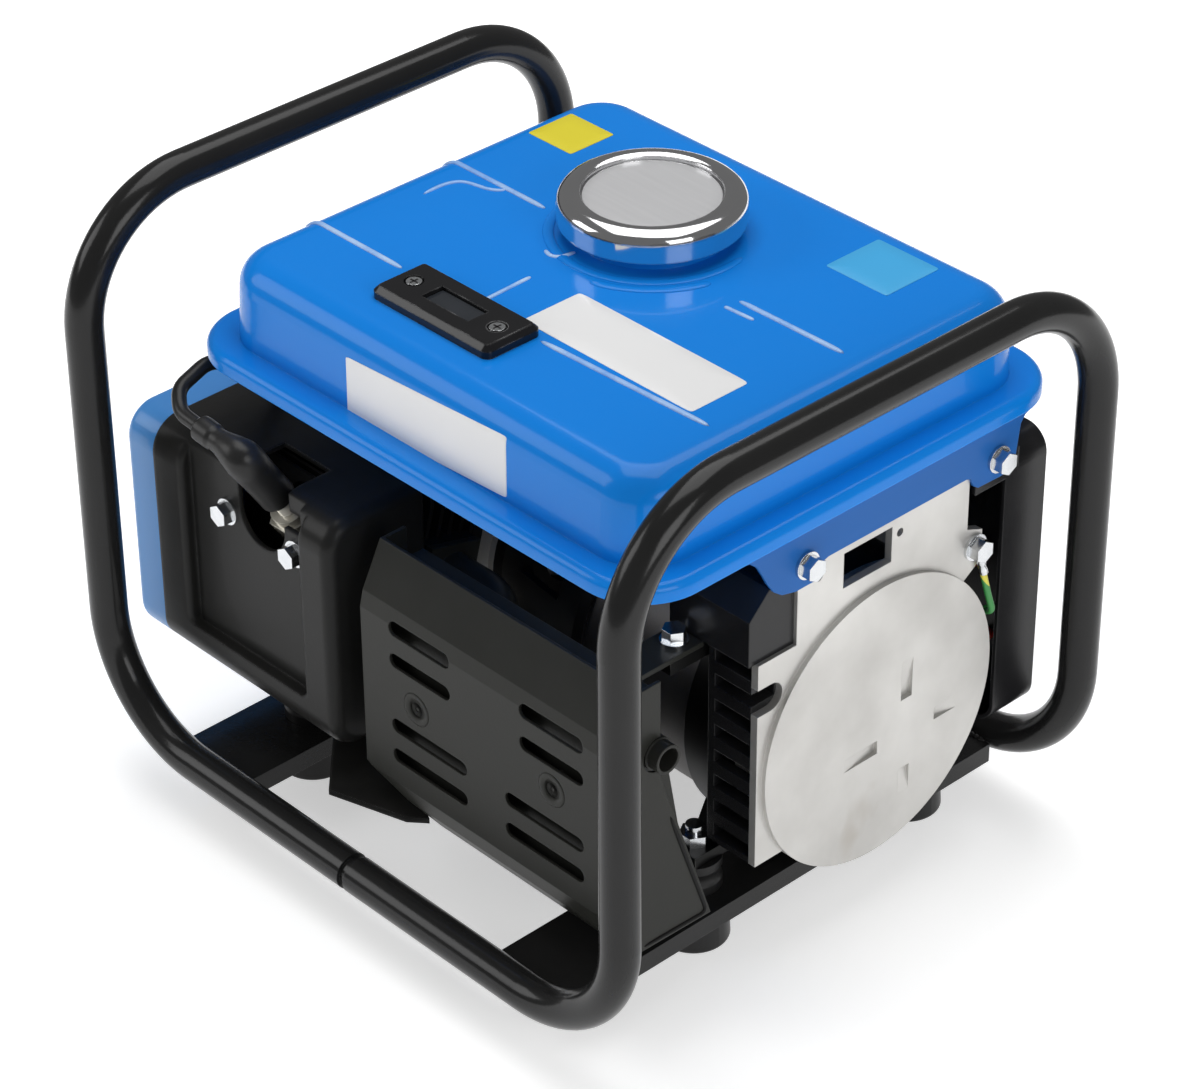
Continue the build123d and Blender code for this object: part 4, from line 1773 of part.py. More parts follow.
def voltmeter_needle():
    """Needle on the meter's pin, resting at the low end of the dial."""
    low = METER_DIAL_Y + NEEDLE_LIFT
    high = low + NEEDLE_THICK
    body = rod_y(low, high, 0, 0, NEEDLE_HUB_R)
    body += box(-NEEDLE_HALF, NEEDLE_HALF, low, high, 0, NEEDLE_LENGTH)
    body -= rod_y(low - 1, high + 1, 0, 0, NEEDLE_PIN_R + RUN_FIT)
    return Pos(METER_X, 0, NEEDLE_Z) * Rot(0, 45, 0) * body


def earth_wire():
    """Earth wire from the end plate's bolt, down its side and into the panel."""
    x = END_PLATE_X + EARTH_WIRE_R + EARTH_WIRE_LIE
    inside = END_PLATE_X - 4 * PANEL_WALL
    points = [(x, EARTH_BOLT_Y + y, EARTH_BOLT_Z - drop) for y, drop in EARTH_RUN]
    for y, drop in zip(EARTH_ENTRY, EARTH_END_DROPS):
        points.append((inside, PANEL_FRONT_Y + y, EARTH_BOLT_Z - drop))
    return tube(points, EARTH_WIRE_BEND, EARTH_WIRE_R)


def fasteners():
    """Studs with nuts, flange bolts, gauge screws and the reel's axle screw."""
    items = [mount_stud(x, y, seat) for x, y, seat in MOUNTS]
    items += [flange_bolt(point, (0, -1, 0)) for point in SHROUD_BOLTS]
    items += [flange_bolt(point, (0, 0, 1)) for point in LEG_BOLTS]
    items += [flange_bolt(point, (1, 0, 0)) for point in TANK_BOLTS]
    items += [flange_bolt(EARTH_BOLT, (1, 0, 0)), flange_bolt(STRAP_BOLT, (0, 0, 1))]
    items += [gauge_screw(x) for x in GAUGE_SCREW_XS]
    return items + [axle_screw()]


case = crankcase()
nodes = {
    "left_hoop": [frame_hoop(-1) + spigots()],
    "right_hoop": [frame_hoop(1)],
    "cross_rails": [cross_rail(-RAIL_X), cross_rail(RAIL_X)],
    "rubber_feet": [rubber_foot(x, y) for x, y, _ in MOUNTS],
    "isolators": [isolator(x, y) for x, y, _ in MOUNTS],
    "engine_bed": [engine_bed()],
    "crankcase_left": [case & box(-400, CYL_X, -400, 400, 0, 400)],
    "crankcase_right": [case & box(CYL_X, 400, -400, 400, 0, 400)],
    "main_bearings": main_bearings(),
    "crankshaft": crankshaft(),
    "con_rod": [con_rod()],
    "engine_pins": engine_pins(),
    "piston": [piston()],
    "cylinder": [cylinder()],
    "cylinder_head": [cylinder_head()],
    "spark_plug": [spark_plug()],
    "plug_boot": [plug_boot()],
    "ht_lead": [tube(lead_points(), LEAD_RADII, LEAD_R)],
    "ignition_coil": [ignition_coil()],
    "flywheel": [flywheel(), flywheel_nut()],
    "fan_shroud": [fan_shroud()],
    "recoil_housing": [recoil_housing()],
    "recoil_reel": [recoil_reel()],
    "starter_rope": starter_rope(),
    "recoil_pawl": [recoil_pawl()],
    "starter_grip": [starter_grip()],
    "muffler": [muffler()],
    "muffler_shield": [muffler_shield()],
    "reed_manifold": [reed_manifold()],
    "carburettor": [carburettor()],
    "choke_lever": [choke_lever()],
    "throttle_lever": [throttle_lever()],
    "air_filter_case": [air_filter_case()],
    "air_filter_cover": [air_filter_cover()],
    "alternator_bell": [alternator_bell()],
    "stator_core": [stator_core()],
    "stator_windings": stator_windings(),
    "rotor": [rotor()],
    "alternator_end_plate": [alternator_end_plate()],
    "vent_louvre": [vent_louvre()],
    "capacitor_box": [capacitor_box()],
    "tank_upper": [tank_upper()],
    "tank_lower": [tank_lower()],
    "tank_brackets": [left_bracket(), right_bracket()],
    "filler_cap": [filler_cap()],
    "cap_gasket": [cap_gasket()],
    "gauge_bezel": [gauge_bezel()],
    "fuel_float": [fuel_float()],
    "fuel_tap": [fuel_tap()],
    "fuel_tap_lever": [fuel_tap_lever()],
    "fuel_hose": [fuel_hose()],
    "control_panel": [control_panel()],
    "ac_socket": [ac_socket()],
    "socket_flap": [socket_flap()],
    "dc_terminals": dc_terminals(),
    "engine_switch": [engine_switch()],
    "breaker_button": [breaker_button()],
    "voltmeter_needle": [voltmeter_needle()],
    "earth_wire": [earth_wire()],
    "fasteners": fasteners(),
}

os.makedirs("parts", exist_ok=True)
for name, shapes in nodes.items():
    export_step(group(shapes), f"parts/{name}.step")
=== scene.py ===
"""Looks of an open-frame portable generator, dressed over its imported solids.

Sizes below are in millimetres unless a name says otherwise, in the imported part's frame:
the floor is z 0, +X is the alternator end and -Y the front with muffler and spark plug.
"""

import logging
import math
from dataclasses import dataclass, field
from enum import Enum
from typing import Any

import bmesh
import bpy
import numpy as np
from mathutils import Matrix, Vector

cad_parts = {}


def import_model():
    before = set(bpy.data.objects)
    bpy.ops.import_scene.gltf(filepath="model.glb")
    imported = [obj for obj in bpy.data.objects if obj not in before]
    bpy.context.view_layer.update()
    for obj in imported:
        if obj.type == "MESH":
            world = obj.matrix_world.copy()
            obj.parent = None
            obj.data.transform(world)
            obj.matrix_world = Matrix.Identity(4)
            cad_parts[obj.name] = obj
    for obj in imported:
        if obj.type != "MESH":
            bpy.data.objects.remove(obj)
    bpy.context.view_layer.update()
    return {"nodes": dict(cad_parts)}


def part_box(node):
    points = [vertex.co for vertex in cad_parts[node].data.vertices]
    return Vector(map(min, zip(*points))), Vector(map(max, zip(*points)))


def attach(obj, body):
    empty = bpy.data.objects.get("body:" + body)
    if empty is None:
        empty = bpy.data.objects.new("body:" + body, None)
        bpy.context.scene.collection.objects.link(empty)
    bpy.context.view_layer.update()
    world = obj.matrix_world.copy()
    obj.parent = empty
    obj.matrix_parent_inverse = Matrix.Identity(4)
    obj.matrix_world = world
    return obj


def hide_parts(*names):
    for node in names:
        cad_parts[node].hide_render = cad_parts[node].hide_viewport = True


MM = 0.001
SMOOTH_ANGLE = math.radians(35)
COAT_ROUGHNESS = 0.04
WEAR_SCALE = 60.0
DUST_SCALE = 90.0
DUST_COLOUR = (0.36, 0.34, 0.31)
LOG = logging.getLogger("generator")

Pair = tuple[float, float]
Colour = tuple[float, float, float]
Point = tuple[float, float, float]
Tree = bpy.types.NodeTree
Socket = bpy.types.NodeSocket
Sockets = bpy.types.bpy_prop_collection
Values = dict[str | int, Any]


class Stretch(Enum):
    """How a finish's grain is drawn out, as scales along X, Y and Z."""

    EVEN = (1.0, 1.0, 1.0)
    ALONG_X = (0.06, 1.0, 1.0)
    ALONG_Y = (1.0, 0.06, 1.0)


def feed(tree: Tree, sockets: Sockets, values: Values) -> None:
    """Fills the inputs of a node.

    Args:
        tree: The node's tree.
        sockets: The inputs.
        values: A socket to link or a plain value to set, by the input's name or number.
    """
    for key, value in values.items():
        if isinstance(value, Socket):
            tree.links.new(value, sockets[key])
        else:
            sockets[key].default_value = value


def add_node(tree: Tree, kind: str, values: Values | None = None, **settings: object) -> Sockets:
    """Adds a shader node.

    Args:
        tree: The tree that gets it.
        kind: Node type without its first word.
        values: What its inputs are fed.
        settings: The node's own settings, such as its operation.

    Returns:
        Its outputs.
    """
    node = tree.nodes.new("ShaderNode" + kind)
    for name, value in settings.items():
        setattr(node, name, value)
    feed(tree, node.inputs, values or {})
    return node.outputs


def object_place(tree: Tree) -> Socket:
    """Socket with the object's own coordinates, in metres."""
    return add_node(tree, "TexCoord")["Object"]


def reckon(tree: Tree, operation: str, first: Socket, second: Socket | float) -> Socket:
    """Socket with the outcome of a Math node's operation."""
    return add_node(tree, "Math", {0: first, 1: second}, operation=operation)[0]


def ramp(tree: Tree, value: Socket, source: Pair = (0.0, 1.0), target: Pair = (0.0, 1.0)) -> Socket:
    """Socket that carries a value from the source span to the target span and holds at its ends."""
    ends = {"From Min": source[0], "From Max": source[1], "To Min": target[0], "To Max": target[1]}
    return add_node(tree, "MapRange", {"Value": value, **ends})["Result"]


def mix_colour(tree: Tree, factor: Socket, first: Socket | Colour, second: Colour) -> Socket:
    """Socket with the first colour where factor is 0, the second where it is 1, and a mix between."""
    start = first if isinstance(first, Socket) else (*first, 1.0)
    return add_node(tree, "Mix", {0: factor, 6: start, 7: (*second, 1.0)}, data_type="RGBA")[2]


class ShaderKit:
    """Shader node groups that several finishes share, each built once."""

    EDGE_TURN: Pair = (0.97, 0.70)
    WEAR_BREAK: Pair = (0.48, 0.62)
    DUST_SLOPE: Pair = (0.2, 1.0)

    def __init__(self) -> None:
        """Makes the grain, edge and dust groups."""
        self.grain = self._grain()
        self.edges = self._edges()
        self.dust = self._dust()

    @staticmethod
    def _group(name: str, inputs: dict[str, str], outputs: tuple[str, ...]) -> tuple[Tree, Sockets, Sockets]:
        """Starts a node group with named sockets.

        Args:
            name: The group's name.
            inputs: Socket type of each input, by name.
            outputs: Name of each output, a vector for Normal and else a number.

        Returns:
            The tree, the sockets that it is given and the sockets that it feeds.
        """
        tree = bpy.data.node_groups.new(name, "ShaderNodeTree")
        sides = {"INPUT": inputs, "OUTPUT": {k: "Vector" if k == "Normal" else "Float" for k in outputs}}
        for side, sockets in sides.items():
            for label, kind in sockets.items():
                tree.interface.new_socket(label, in_out=side, socket_type="NodeSocket" + kind)
        return tree, tree.nodes.new("NodeGroupInput").outputs, tree.nodes.new("NodeGroupOutput").inputs

    def _grain(self) -> Tree:
        """Two noises on the stretched object coordinates: a broad tone and a fine height.

        Returns:
            The group, with Tone for colour and roughness and Height for bump.
        """
        kinds = {"Stretch": "Vector", "Tone Scale": "Float", "Fine Scale": "Float"}
        tree, given, out = self._group("surface_grain", kinds, ("Tone", "Height"))
        drawn = add_node(tree, "VectorMath", {0: object_place(tree), 1: given["Stretch"]}, operation="MULTIPLY")[0]
        for scale, detail, target in (("Tone Scale", 4.0, "Tone"), ("Fine Scale", 3.0, "Height")):
            values = {"Detail": detail, "Vector": drawn, "Scale": given[scale]}
            feed(tree, out, {target: add_node(tree, "TexNoise", values)["Fac"]})
        return tree

    def _edges(self) -> Tree:
        """Rounded normals near edges, and a broken mask where they leave the flat normal.

        Returns:
            The group, with Normal for the softened edge and Mask for its wear, which on the gauge bezel carries a
            painted highlight.
        """
        kinds = {"Radius": "Float", "Break Scale": "Float"}
        tree, given, out = self._group("soft_edges", kinds, ("Normal", "Mask"))
        normal = add_node(tree, "Bevel", {"Radius": given["Radius"]}, samples=4)["Normal"]
        flat = add_node(tree, "NewGeometry")["Normal"]
        dot = add_node(tree, "VectorMath", {0: normal, 1: flat}, operation="DOT_PRODUCT")["Value"]
        noise = add_node(tree, "TexNoise", {"Vector": object_place(tree), "Scale": given["Break Scale"]})["Fac"]
        mask = reckon(tree, "MULTIPLY", ramp(tree, dot, self.EDGE_TURN), ramp(tree, noise, self.WEAR_BREAK))
        feed(tree, out, {"Normal": normal, "Mask": mask})
        return tree

    def _dust(self) -> Tree:
        """A mask on faces that look up, broken by noise.

        Returns:
            The group, with Mask from 0 to the given Amount.
        """
        tree, given, out = self._group("settled_dust", {"Amount": "Float", "Scale": "Float"}, ("Mask",))
        rise = add_node(tree, "SeparateXYZ", {0: add_node(tree, "NewGeometry")["Normal"]})["Z"]
        values = {"Detail": 6.0, "Vector": object_place(tree), "Scale": given["Scale"]}
        noise = add_node(tree, "TexNoise", values)["Fac"]
        facing = reckon(tree, "MULTIPLY", ramp(tree, rise, self.DUST_SLOPE), noise)
        feed(tree, out, {"Mask": reckon(tree, "MULTIPLY", facing, given["Amount"])})
        return tree


def new_material(name: str) -> tuple[bpy.types.Material, Tree, Sockets]:
    """Starts a material.

    Args:
        name: Its name.

    Returns:
        The material, its node tree and its shader's inputs.
    """
    material = bpy.data.materials.new(name)
    material.use_nodes = True
    return material, material.node_tree, material.node_tree.nodes["Principled BSDF"].inputs


@dataclass(frozen=True)
class Layer:
    """A further colour over part of a finish.

    Attributes:
        colour: The colour.
    """

    colour: Colour

    def mask(self, tree: Tree, kit: ShaderKit) -> Socket:
        """Socket that is 1 on the layer and 0 off it."""
        raise NotImplementedError


@dataclass(frozen=True)
class Band(Layer):
    """Colour past a plane.

    Attributes:
        start: Point on the plane.
        way: Direction towards the colour.
    """

    start: Point
    way: Point

    def mask(self, tree: Tree, kit: ShaderKit) -> Socket:
        """Step of the distance along the way, at the plane."""
        along = add_node(tree, "VectorMath", {0: object_place(tree), 1: self.way}, operation="DOT_PRODUCT")
        return reckon(tree, "GREATER_THAN", along["Value"], sum(a * b for a, b in zip(self.start, self.way)) * MM)


@dataclass(frozen=True)
class Stains(Layer):
    """Scattered stains where a broad noise passes a level.

    Attributes:
        scale: Scale of the noise, per metre.
        level: Noise at which a stain begins.
        blur: Rise of the noise over a stain's soft edge.
        drawn: Scales of the noise along X, Y and Z.
    """

    scale: float
    level: float
    blur: float = 0.22
    drawn: Point = (1.0, 1.0, 0.7)

    def mask(self, tree: Tree, kit: ShaderKit) -> Socket:
        """The noise past the level, as a soft step."""
        noise = add_node(tree, "Group", {"Stretch": self.drawn, "Tone Scale": self.scale}, node_tree=kit.grain)
        return ramp(tree, noise["Tone"], (self.level, self.level + self.blur))


@dataclass(frozen=True)
class Stripes(Layer):
    """Stripes of a slanting wave, which cross a wire as it runs down.

    Attributes:
        rate: Scale of the wave texture, per metre.
        level: Height of the wave at which a stripe begins.
    """

    rate: float = 11.363636
    level: float = 0.55

    def mask(self, tree: Tree, kit: ShaderKit) -> Socket:
        """The wave past the level, as a sharp step."""
        wave = add_node(tree, "TexWave", {"Scale": self.rate, "Vector": object_place(tree)}, bands_direction="DIAGONAL")
        return reckon(tree, "GREATER_THAN", wave["Fac"], self.level)


@dataclass(frozen=True)
class Finish:
    """A painted, cast, plated or moulded surface with grain, worn edges and dust; some finishes also carry painted
    light or shade.

    Attributes:
        name: Material name.
        colour: Main linear colour.
        shade: Colour that the broad tone mixes in.
        roughness: Lowest and highest roughness over the tone.
        metallic: 1 for bare metal.
        coat: Clear coat weight.
        specular: Strength of the gloss at right angles, with 0.5 for common paint.
        tone_scale: Scale of the broad tone, per metre.
        fine_scale: Scale of the bump's grain, per metre.
        bump: Depth of the grain in millimetres.
        stretch: Direction in which the grain is drawn out.
        edge: Colour of the worn edges; on the gauge bezel it is a painted highlight.
        edge_radius: How far the edges look rounded, in millimetres.
        wear: Strength of the worn edges' colour, which on the gauge bezel is a painted highlight.
        dust: Most dust on faces that look up.
        layers: Further colours, under the wear and the dust.
    """

    name: str
    colour: Colour
    shade: Colour
    roughness: Pair = (0.35, 0.45)
    metallic: float = 0.0
    coat: float = 0.0
    specular: float = 0.5
    tone_scale: float = 40.0
    fine_scale: float = 900.0
    bump: float = 0.02
    stretch: Stretch = Stretch.EVEN
    edge: Colour = (0.5, 0.5, 0.5)
    edge_radius: float = 0.5
    wear: float = 0.25
    dust: float = 0.0
    layers: tuple[Layer, ...] = ()

    def build(self, kit: ShaderKit) -> bpy.types.Material:
        """Makes the material.

        Args:
            kit: Shared groups.

        Returns:
            The material.
        """
        material, tree, shader = new_material(self.name)
        drawn = {"Stretch": self.stretch.value, "Tone Scale": self.tone_scale, "Fine Scale": self.fine_scale}
        grain = add_node(tree, "Group", drawn, node_tree=kit.grain)
        rounding = {"Radius": self.edge_radius * MM, "Break Scale": WEAR_SCALE}
        edges = add_node(tree, "Group", rounding, node_tree=kit.edges)
        colour = mix_colour(tree, grain["Tone"], self.colour, self.shade)
        for layer in self.layers:
            colour = mix_colour(tree, layer.mask(tree, kit), colour, layer.colour)
        colour = mix_colour(tree, reckon(tree, "MULTIPLY", edges["Mask"], self.wear), colour, self.edge)
        if self.dust:
            dust = add_node(tree, "Group", {"Amount": self.dust, "Scale": DUST_SCALE}, node_tree=kit.dust)
            colour = mix_colour(tree, dust["Mask"], colour, DUST_COLOUR)
        relief = {"Distance": self.bump * MM, "Height": grain["Height"], "Normal": edges["Normal"]}
        feed(tree, shader, {
            "Metallic": self.metallic,
            "Coat Weight": self.coat,
            "Coat Roughness": COAT_ROUGHNESS,
            "Specular IOR Level": self.specular,
            "Base Color": colour,
            "Roughness": ramp(tree, grain["Tone"], target=self.roughness),
            "Normal": add_node(tree, "Bump", relief)["Normal"],
        })
        return material


@dataclass(frozen=True)
class GlassFinish:
    """Clear window with a faint tint.

    Attributes:
        name: Material name.
        tint: Linear colour of the light that passes.
        haze: Lowest and highest roughness.
        haze_scale: Scale of the haze's noise, per metre.
        bending: Index of refraction.
    """

    name: str
    tint: Colour = (0.92, 0.95, 0.95)
    haze: Pair = (0.02, 0.09)
    haze_scale: float = 120.0
    bending: float = 1.45

    def build(self, kit: ShaderKit) -> bpy.types.Material:
        """Makes the material, with a fine haze in its roughness.

        Args:
            kit: Shared groups.

        Returns:
            The material.
        """
        material, tree, shader = new_material(self.name)
        drawn = {"Stretch": Stretch.EVEN.value, "Tone Scale": self.haze_scale}
        tone = add_node(tree, "Group", drawn, node_tree=kit.grain)["Tone"]
        feed(tree, shader, {
            "Base Color": (*self.tint, 1.0),
            "Transmission Weight": 1.0,
            "IOR": self.bending,
            "Roughness": ramp(tree, tone, target=self.haze),
        })
        return material


def grey(level: float) -> Colour:
    """Colour with the same level in red, green and blue."""
    return (level, level, level)


class Palette:
    """Every finish of the generator, by its slot in the record or by its own name."""

    def __init__(self) -> None:
        """Builds the materials."""
        kit = ShaderKit()
        self.by_name = {finish.name: finish.build(kit) for finish in self.finishes()}

    @staticmethod
    def finishes() -> list[Finish | GlassFinish]:
        """The finishes.

        Returns:
            One entry for each slot, and one for each finish that a piece alone has.
        """
        labels = [
            Finish(name, colour, shade, (0.30, 0.40), coat=0.15, tone_scale=20, fine_scale=500, bump=0.01,
                   edge=edge, edge_radius=0.1)
            for name, colour, shade, edge in (
                ("label_white", grey(0.84), grey(0.80), grey(0.9)),
                ("label_yellow", (0.78, 0.68, 0.03), (0.74, 0.64, 0.03), (0.9, 0.75, 0.2)),
                ("label_blue", (0.05, 0.42, 0.80), (0.05, 0.40, 0.77), (0.3, 0.6, 0.9)),
            )
        ]
        return [
            Finish("frame_black", grey(0.010), grey(0.016), (0.14, 0.24), coat=0.08, specular=0.22,
                   tone_scale=25, fine_scale=700, bump=0.03, edge=(0.10, 0.10, 0.11), wear=0.3, dust=0.01),
            Finish("tank_blue", (0.004, 0.205, 0.71), (0.006, 0.232, 0.76), (0.18, 0.26), coat=0.16, specular=0.12,
                   tone_scale=6, fine_scale=420, bump=0.012, edge=(0.04, 0.38, 0.95), edge_radius=0.8,
                   wear=0.35, dust=0.01),
            # The tank's blue, darkened for its brackets: painted shade, since the brackets wear the same paint as the
            # tank.
            Finish("bracket_painted_shade_blue", (0.012, 0.115, 0.40), (0.016, 0.13, 0.44), (0.30, 0.42), coat=0.05, specular=0.12,
                   tone_scale=20, fine_scale=420, bump=0.012, edge=(0.06, 0.34, 0.85), edge_radius=0.6,
                   wear=0.35, dust=0.01),
            # Pale blue-white streaks on the tank's beads: a painted highlight where the light catches the raised lines.
            Finish("bead_painted_highlight", (0.01, 0.24, 0.76), (0.62, 0.78, 0.95), (0.22, 0.34), coat=0.2, specular=0.3,
                   tone_scale=70, fine_scale=420, bump=0.012, edge=(0.4, 0.65, 0.95), edge_radius=0.4,
                   wear=0.5),
            Finish("cover_blue", (0.05, 0.26, 0.66), (0.07, 0.29, 0.69), (0.30, 0.40), coat=0.2, specular=0.35,
                   tone_scale=20, edge=(0.14, 0.45, 0.9), dust=0.03),
            Finish("shroud_black", grey(0.010), (0.018, 0.018, 0.017), (0.26, 0.42), coat=0.03,
                   specular=0.13, tone_scale=18, fine_scale=800, bump=0.03, edge=grey(0.09),
                   edge_radius=2.2, wear=0.18, dust=0.03),
            Finish("shield_dark", (0.017, 0.018, 0.015), (0.029, 0.029, 0.026), (0.26, 0.42), specular=0.16,
                   tone_scale=14, fine_scale=600, bump=0.03, edge=(0.11, 0.11, 0.10), edge_radius=0.8,
                   wear=0.3, dust=0.03),
            # Near-black painted shade: the cylinder, its head and the alternator bell lie in shadow under the tank, so
            # they are drawn black instead of bare alloy.
            Finish("painted_shade_black", grey(0.006), grey(0.011), (0.40, 0.55), specular=0.12,
                   tone_scale=50, fine_scale=1200, bump=0.05, edge=grey(0.06), dust=0.02),
            Finish("cast_alloy", (0.62, 0.61, 0.58), (0.50, 0.49, 0.47), (0.40, 0.60), metallic=0.85,
                   tone_scale=60, fine_scale=1400, bump=0.05, edge=(0.8, 0.8, 0.78), wear=0.4, dust=0.08),
            # The brown stains are the plate's own. The near-black band past x 132 mm towards the engine is painted
            # shade on the casting behind the plate.
            Finish("plate_alloy", (0.74, 0.73, 0.705), (0.46, 0.45, 0.43), (0.28, 0.56), metallic=0.75,
                   tone_scale=24, fine_scale=2400, edge=(0.88, 0.88, 0.86), wear=0.3, dust=0.01,
                   layers=(Stains((0.34, 0.29, 0.23), 17.0, 0.60),
                           Band(grey(0.010), (132.0, 0.0, 0.0), (-1.0, 0.0, 0.0)))),
            Finish("machined_alloy", (0.66, 0.66, 0.65), (0.56, 0.56, 0.55), (0.26, 0.38), metallic=1.0,
                   tone_scale=200, fine_scale=1600, stretch=Stretch.ALONG_X, edge=(0.85, 0.85, 0.84), wear=0.4),
            Finish("zinc_steel", (0.72, 0.73, 0.74), (0.58, 0.60, 0.62), (0.14, 0.26), metallic=1.0,
                   tone_scale=180, fine_scale=1500, bump=0.012, edge=grey(0.9), edge_radius=0.35, wear=0.3),
            Finish("dark_steel", (0.20, 0.20, 0.205), (0.28, 0.275, 0.27), (0.28, 0.42), metallic=1.0,
                   tone_scale=90),
            Finish("iron", grey(0.10), (0.16, 0.15, 0.145), (0.40, 0.55), metallic=0.9,
                   tone_scale=2000, fine_scale=2600, bump=0.05, stretch=Stretch.ALONG_Y, edge=grey(0.3)),
            Finish("copper", (0.62, 0.23, 0.08), (0.48, 0.16, 0.06), (0.22, 0.36), metallic=1.0, coat=0.4,
                   tone_scale=240, edge=(0.8, 0.4, 0.2)),
            Finish("chrome", (0.72, 0.72, 0.73), (0.64, 0.64, 0.65), (0.05, 0.11), metallic=1.0,
                   tone_scale=30, fine_scale=500, bump=0.004, edge=grey(0.95), edge_radius=0.8, wear=0.2),
            Finish("rubber_black", grey(0.010), grey(0.018), (0.28, 0.44), specular=0.3,
                   tone_scale=50, fine_scale=1300, bump=0.03, edge=grey(0.06), dust=0.03),
            Finish("plastic_black", (0.009, 0.009, 0.010), (0.016, 0.016, 0.017), (0.18, 0.30), specular=0.25,
                   tone_scale=30, fine_scale=1500, bump=0.03, edge=grey(0.08), edge_radius=0.8,
                   wear=0.3, dust=0.02),
            # Pale colour strongly laid on the bezel's rounded edges: a painted highlight along them.
            Finish("bezel_black_painted_highlight", (0.007, 0.007, 0.008), (0.012, 0.012, 0.013), (0.10, 0.18), coat=0.15, specular=0.25,
                   tone_scale=30, fine_scale=1500, bump=0.01, edge=(0.42, 0.42, 0.43), edge_radius=1.1, wear=0.7),
            Finish("plastic_grey", (0.22, 0.23, 0.24), (0.26, 0.27, 0.28), (0.36, 0.48),
                   tone_scale=30, fine_scale=1500, bump=0.03, dust=0.04),
            Finish("plastic_red", (0.55, 0.018, 0.014), (0.62, 0.03, 0.02), (0.26, 0.38),
                   tone_scale=30, fine_scale=1300, edge=(0.8, 0.2, 0.15)),
            Finish("ceramic", (0.66, 0.63, 0.55), (0.50, 0.48, 0.42), (0.16, 0.30), metallic=0.5,
                   tone_scale=160, bump=0.01, edge=(0.8, 0.8, 0.75),
                   layers=(Band((0.82, 0.80, 0.74), (-89.0, -100.9, 165.7), (0.0, -0.5446, 0.8387)),)),
            Finish("wire_green", (0.03, 0.24, 0.05), (0.04, 0.28, 0.06), bump=0.01, edge=(0.3, 0.5, 0.2),
                   layers=(Stripes((0.72, 0.66, 0.08)),)),
            Finish("cord_white", (0.72, 0.71, 0.66), (0.60, 0.58, 0.53), (0.6, 0.8),
                   tone_scale=400, fine_scale=2200, bump=0.08, edge=grey(0.8)),
            Finish("cap_inlay_grey", (0.60, 0.60, 0.61), (0.52, 0.52, 0.53), (0.30, 0.40), metallic=0.2,
                   tone_scale=400, fine_scale=2500, bump=0.01, stretch=Stretch.ALONG_X, edge=grey(0.7)),
            Finish("dial_white", (0.80, 0.80, 0.78), (0.76, 0.76, 0.74), (0.45, 0.55),
                   tone_scale=60, bump=0.005, edge=grey(0.9)),
            Finish("stage_white", grey(0.90), grey(0.88), (0.75, 0.85),
                   tone_scale=3, fine_scale=200, bump=0.01, edge=grey(0.9), wear=0.0),
            Finish("smoked_window", (0.020, 0.023, 0.028), (0.030, 0.034, 0.040), (0.16, 0.26), specular=0.3,
                   tone_scale=60, bump=0.004, edge=grey(0.4), edge_radius=0.2),
            GlassFinish("clear_window"),
        ] + labels

    def put(self, obj: bpy.types.Object, name: str) -> None:
        """Makes a finish the object's only material."""
        obj.data.materials.clear()
        obj.data.materials.append(self.by_name[name])


def grid_faces(rows: int, cols: int, close_rows: bool, close_cols: bool) -> np.ndarray:
    """Quads between neighbours of a grid of points, numbered row by row.

    Args:
        rows: Rows of points.
        cols: Points in a row.
        close_rows: Joins the last row to the first.
        close_cols: Joins each row's last point to its first.

    Returns:
        The quads' point numbers, four to a row.
    """
    r = np.arange(rows if close_rows else rows - 1)
    c = np.arange(cols if close_cols else cols - 1)
    i, j = (grid.ravel() for grid in np.meshgrid(r, c, indexing="ij"))
    i2, j2 = (i + 1) % rows, (j + 1) % cols
    return np.stack([i * cols + j, i * cols + j2, i2 * cols + j2, i2 * cols + j], 1)


def mesh_object(name: str, grids: list, close_rows: bool = False) -> bpy.types.Object:
    """Makes one object of grids of points in millimetres, closed round each row.

    Args:
        name: Object name.
        grids: Arrays of shape rows, columns, 3.
        close_rows: Joins the last row of each grid to its first, as on a ring.

    Returns:
        The object, linked to the scene, with its place in its mesh.
    """
    points, faces, start = [], [], 0
    for grid in grids:
        rows, cols = grid.shape[:2]
        points.append(grid.reshape(-1, 3) * MM)
        faces.append(grid_faces(rows, cols, close_rows, True) + start)
        start += rows * cols
    mesh = bpy.data.meshes.new(name)
    mesh.from_pydata(np.concatenate(points).tolist(), [], np.concatenate(faces).tolist())
    work = bmesh.new()
    work.from_mesh(mesh)
    bmesh.ops.remove_doubles(work, verts=work.verts, dist=1e-6)
    bmesh.ops.dissolve_degenerate(work, edges=work.edges, dist=1e-7)
    bmesh.ops.recalc_face_normals(work, faces=work.faces)
    work.to_mesh(mesh)
    work.free()
    mesh.polygons.foreach_set("use_smooth", np.ones(len(mesh.polygons), bool))
    mesh.set_sharp_from_angle(angle=SMOOTH_ANGLE)
    obj = bpy.data.objects.new(name, mesh)
    bpy.context.scene.collection.objects.link(obj)
    return obj


@dataclass(frozen=True)
class Seat:
    """A place for a piece: a point and three directions at right angles.

    Attributes:
        at: The point, in millimetres.
        right: Direction of the local first axis.
        up: Direction of the local second axis.
    """

    at: Point
    right: Point = (1.0, 0.0, 0.0)
    up: Point = (0.0, 1.0, 0.0)

    def place(self, a: np.ndarray, b: np.ndarray, c: np.ndarray) -> np.ndarray:
        """Points at the local distances a, b and c along right, up and out of them.

        Args:
            a: Distances along right.
            b: Distances along up.
            c: Distances along right x up.

        Returns:
            The points, with a last axis of 3.
        """
        right, up = np.array(self.right, float), np.array(self.up, float)
        out = np.cross(right, up)
        a, b, c = np.broadcast_arrays(a, b, c)
        return np.array(self.at) + a[..., None] * right + b[..., None] * up + c[..., None] * out


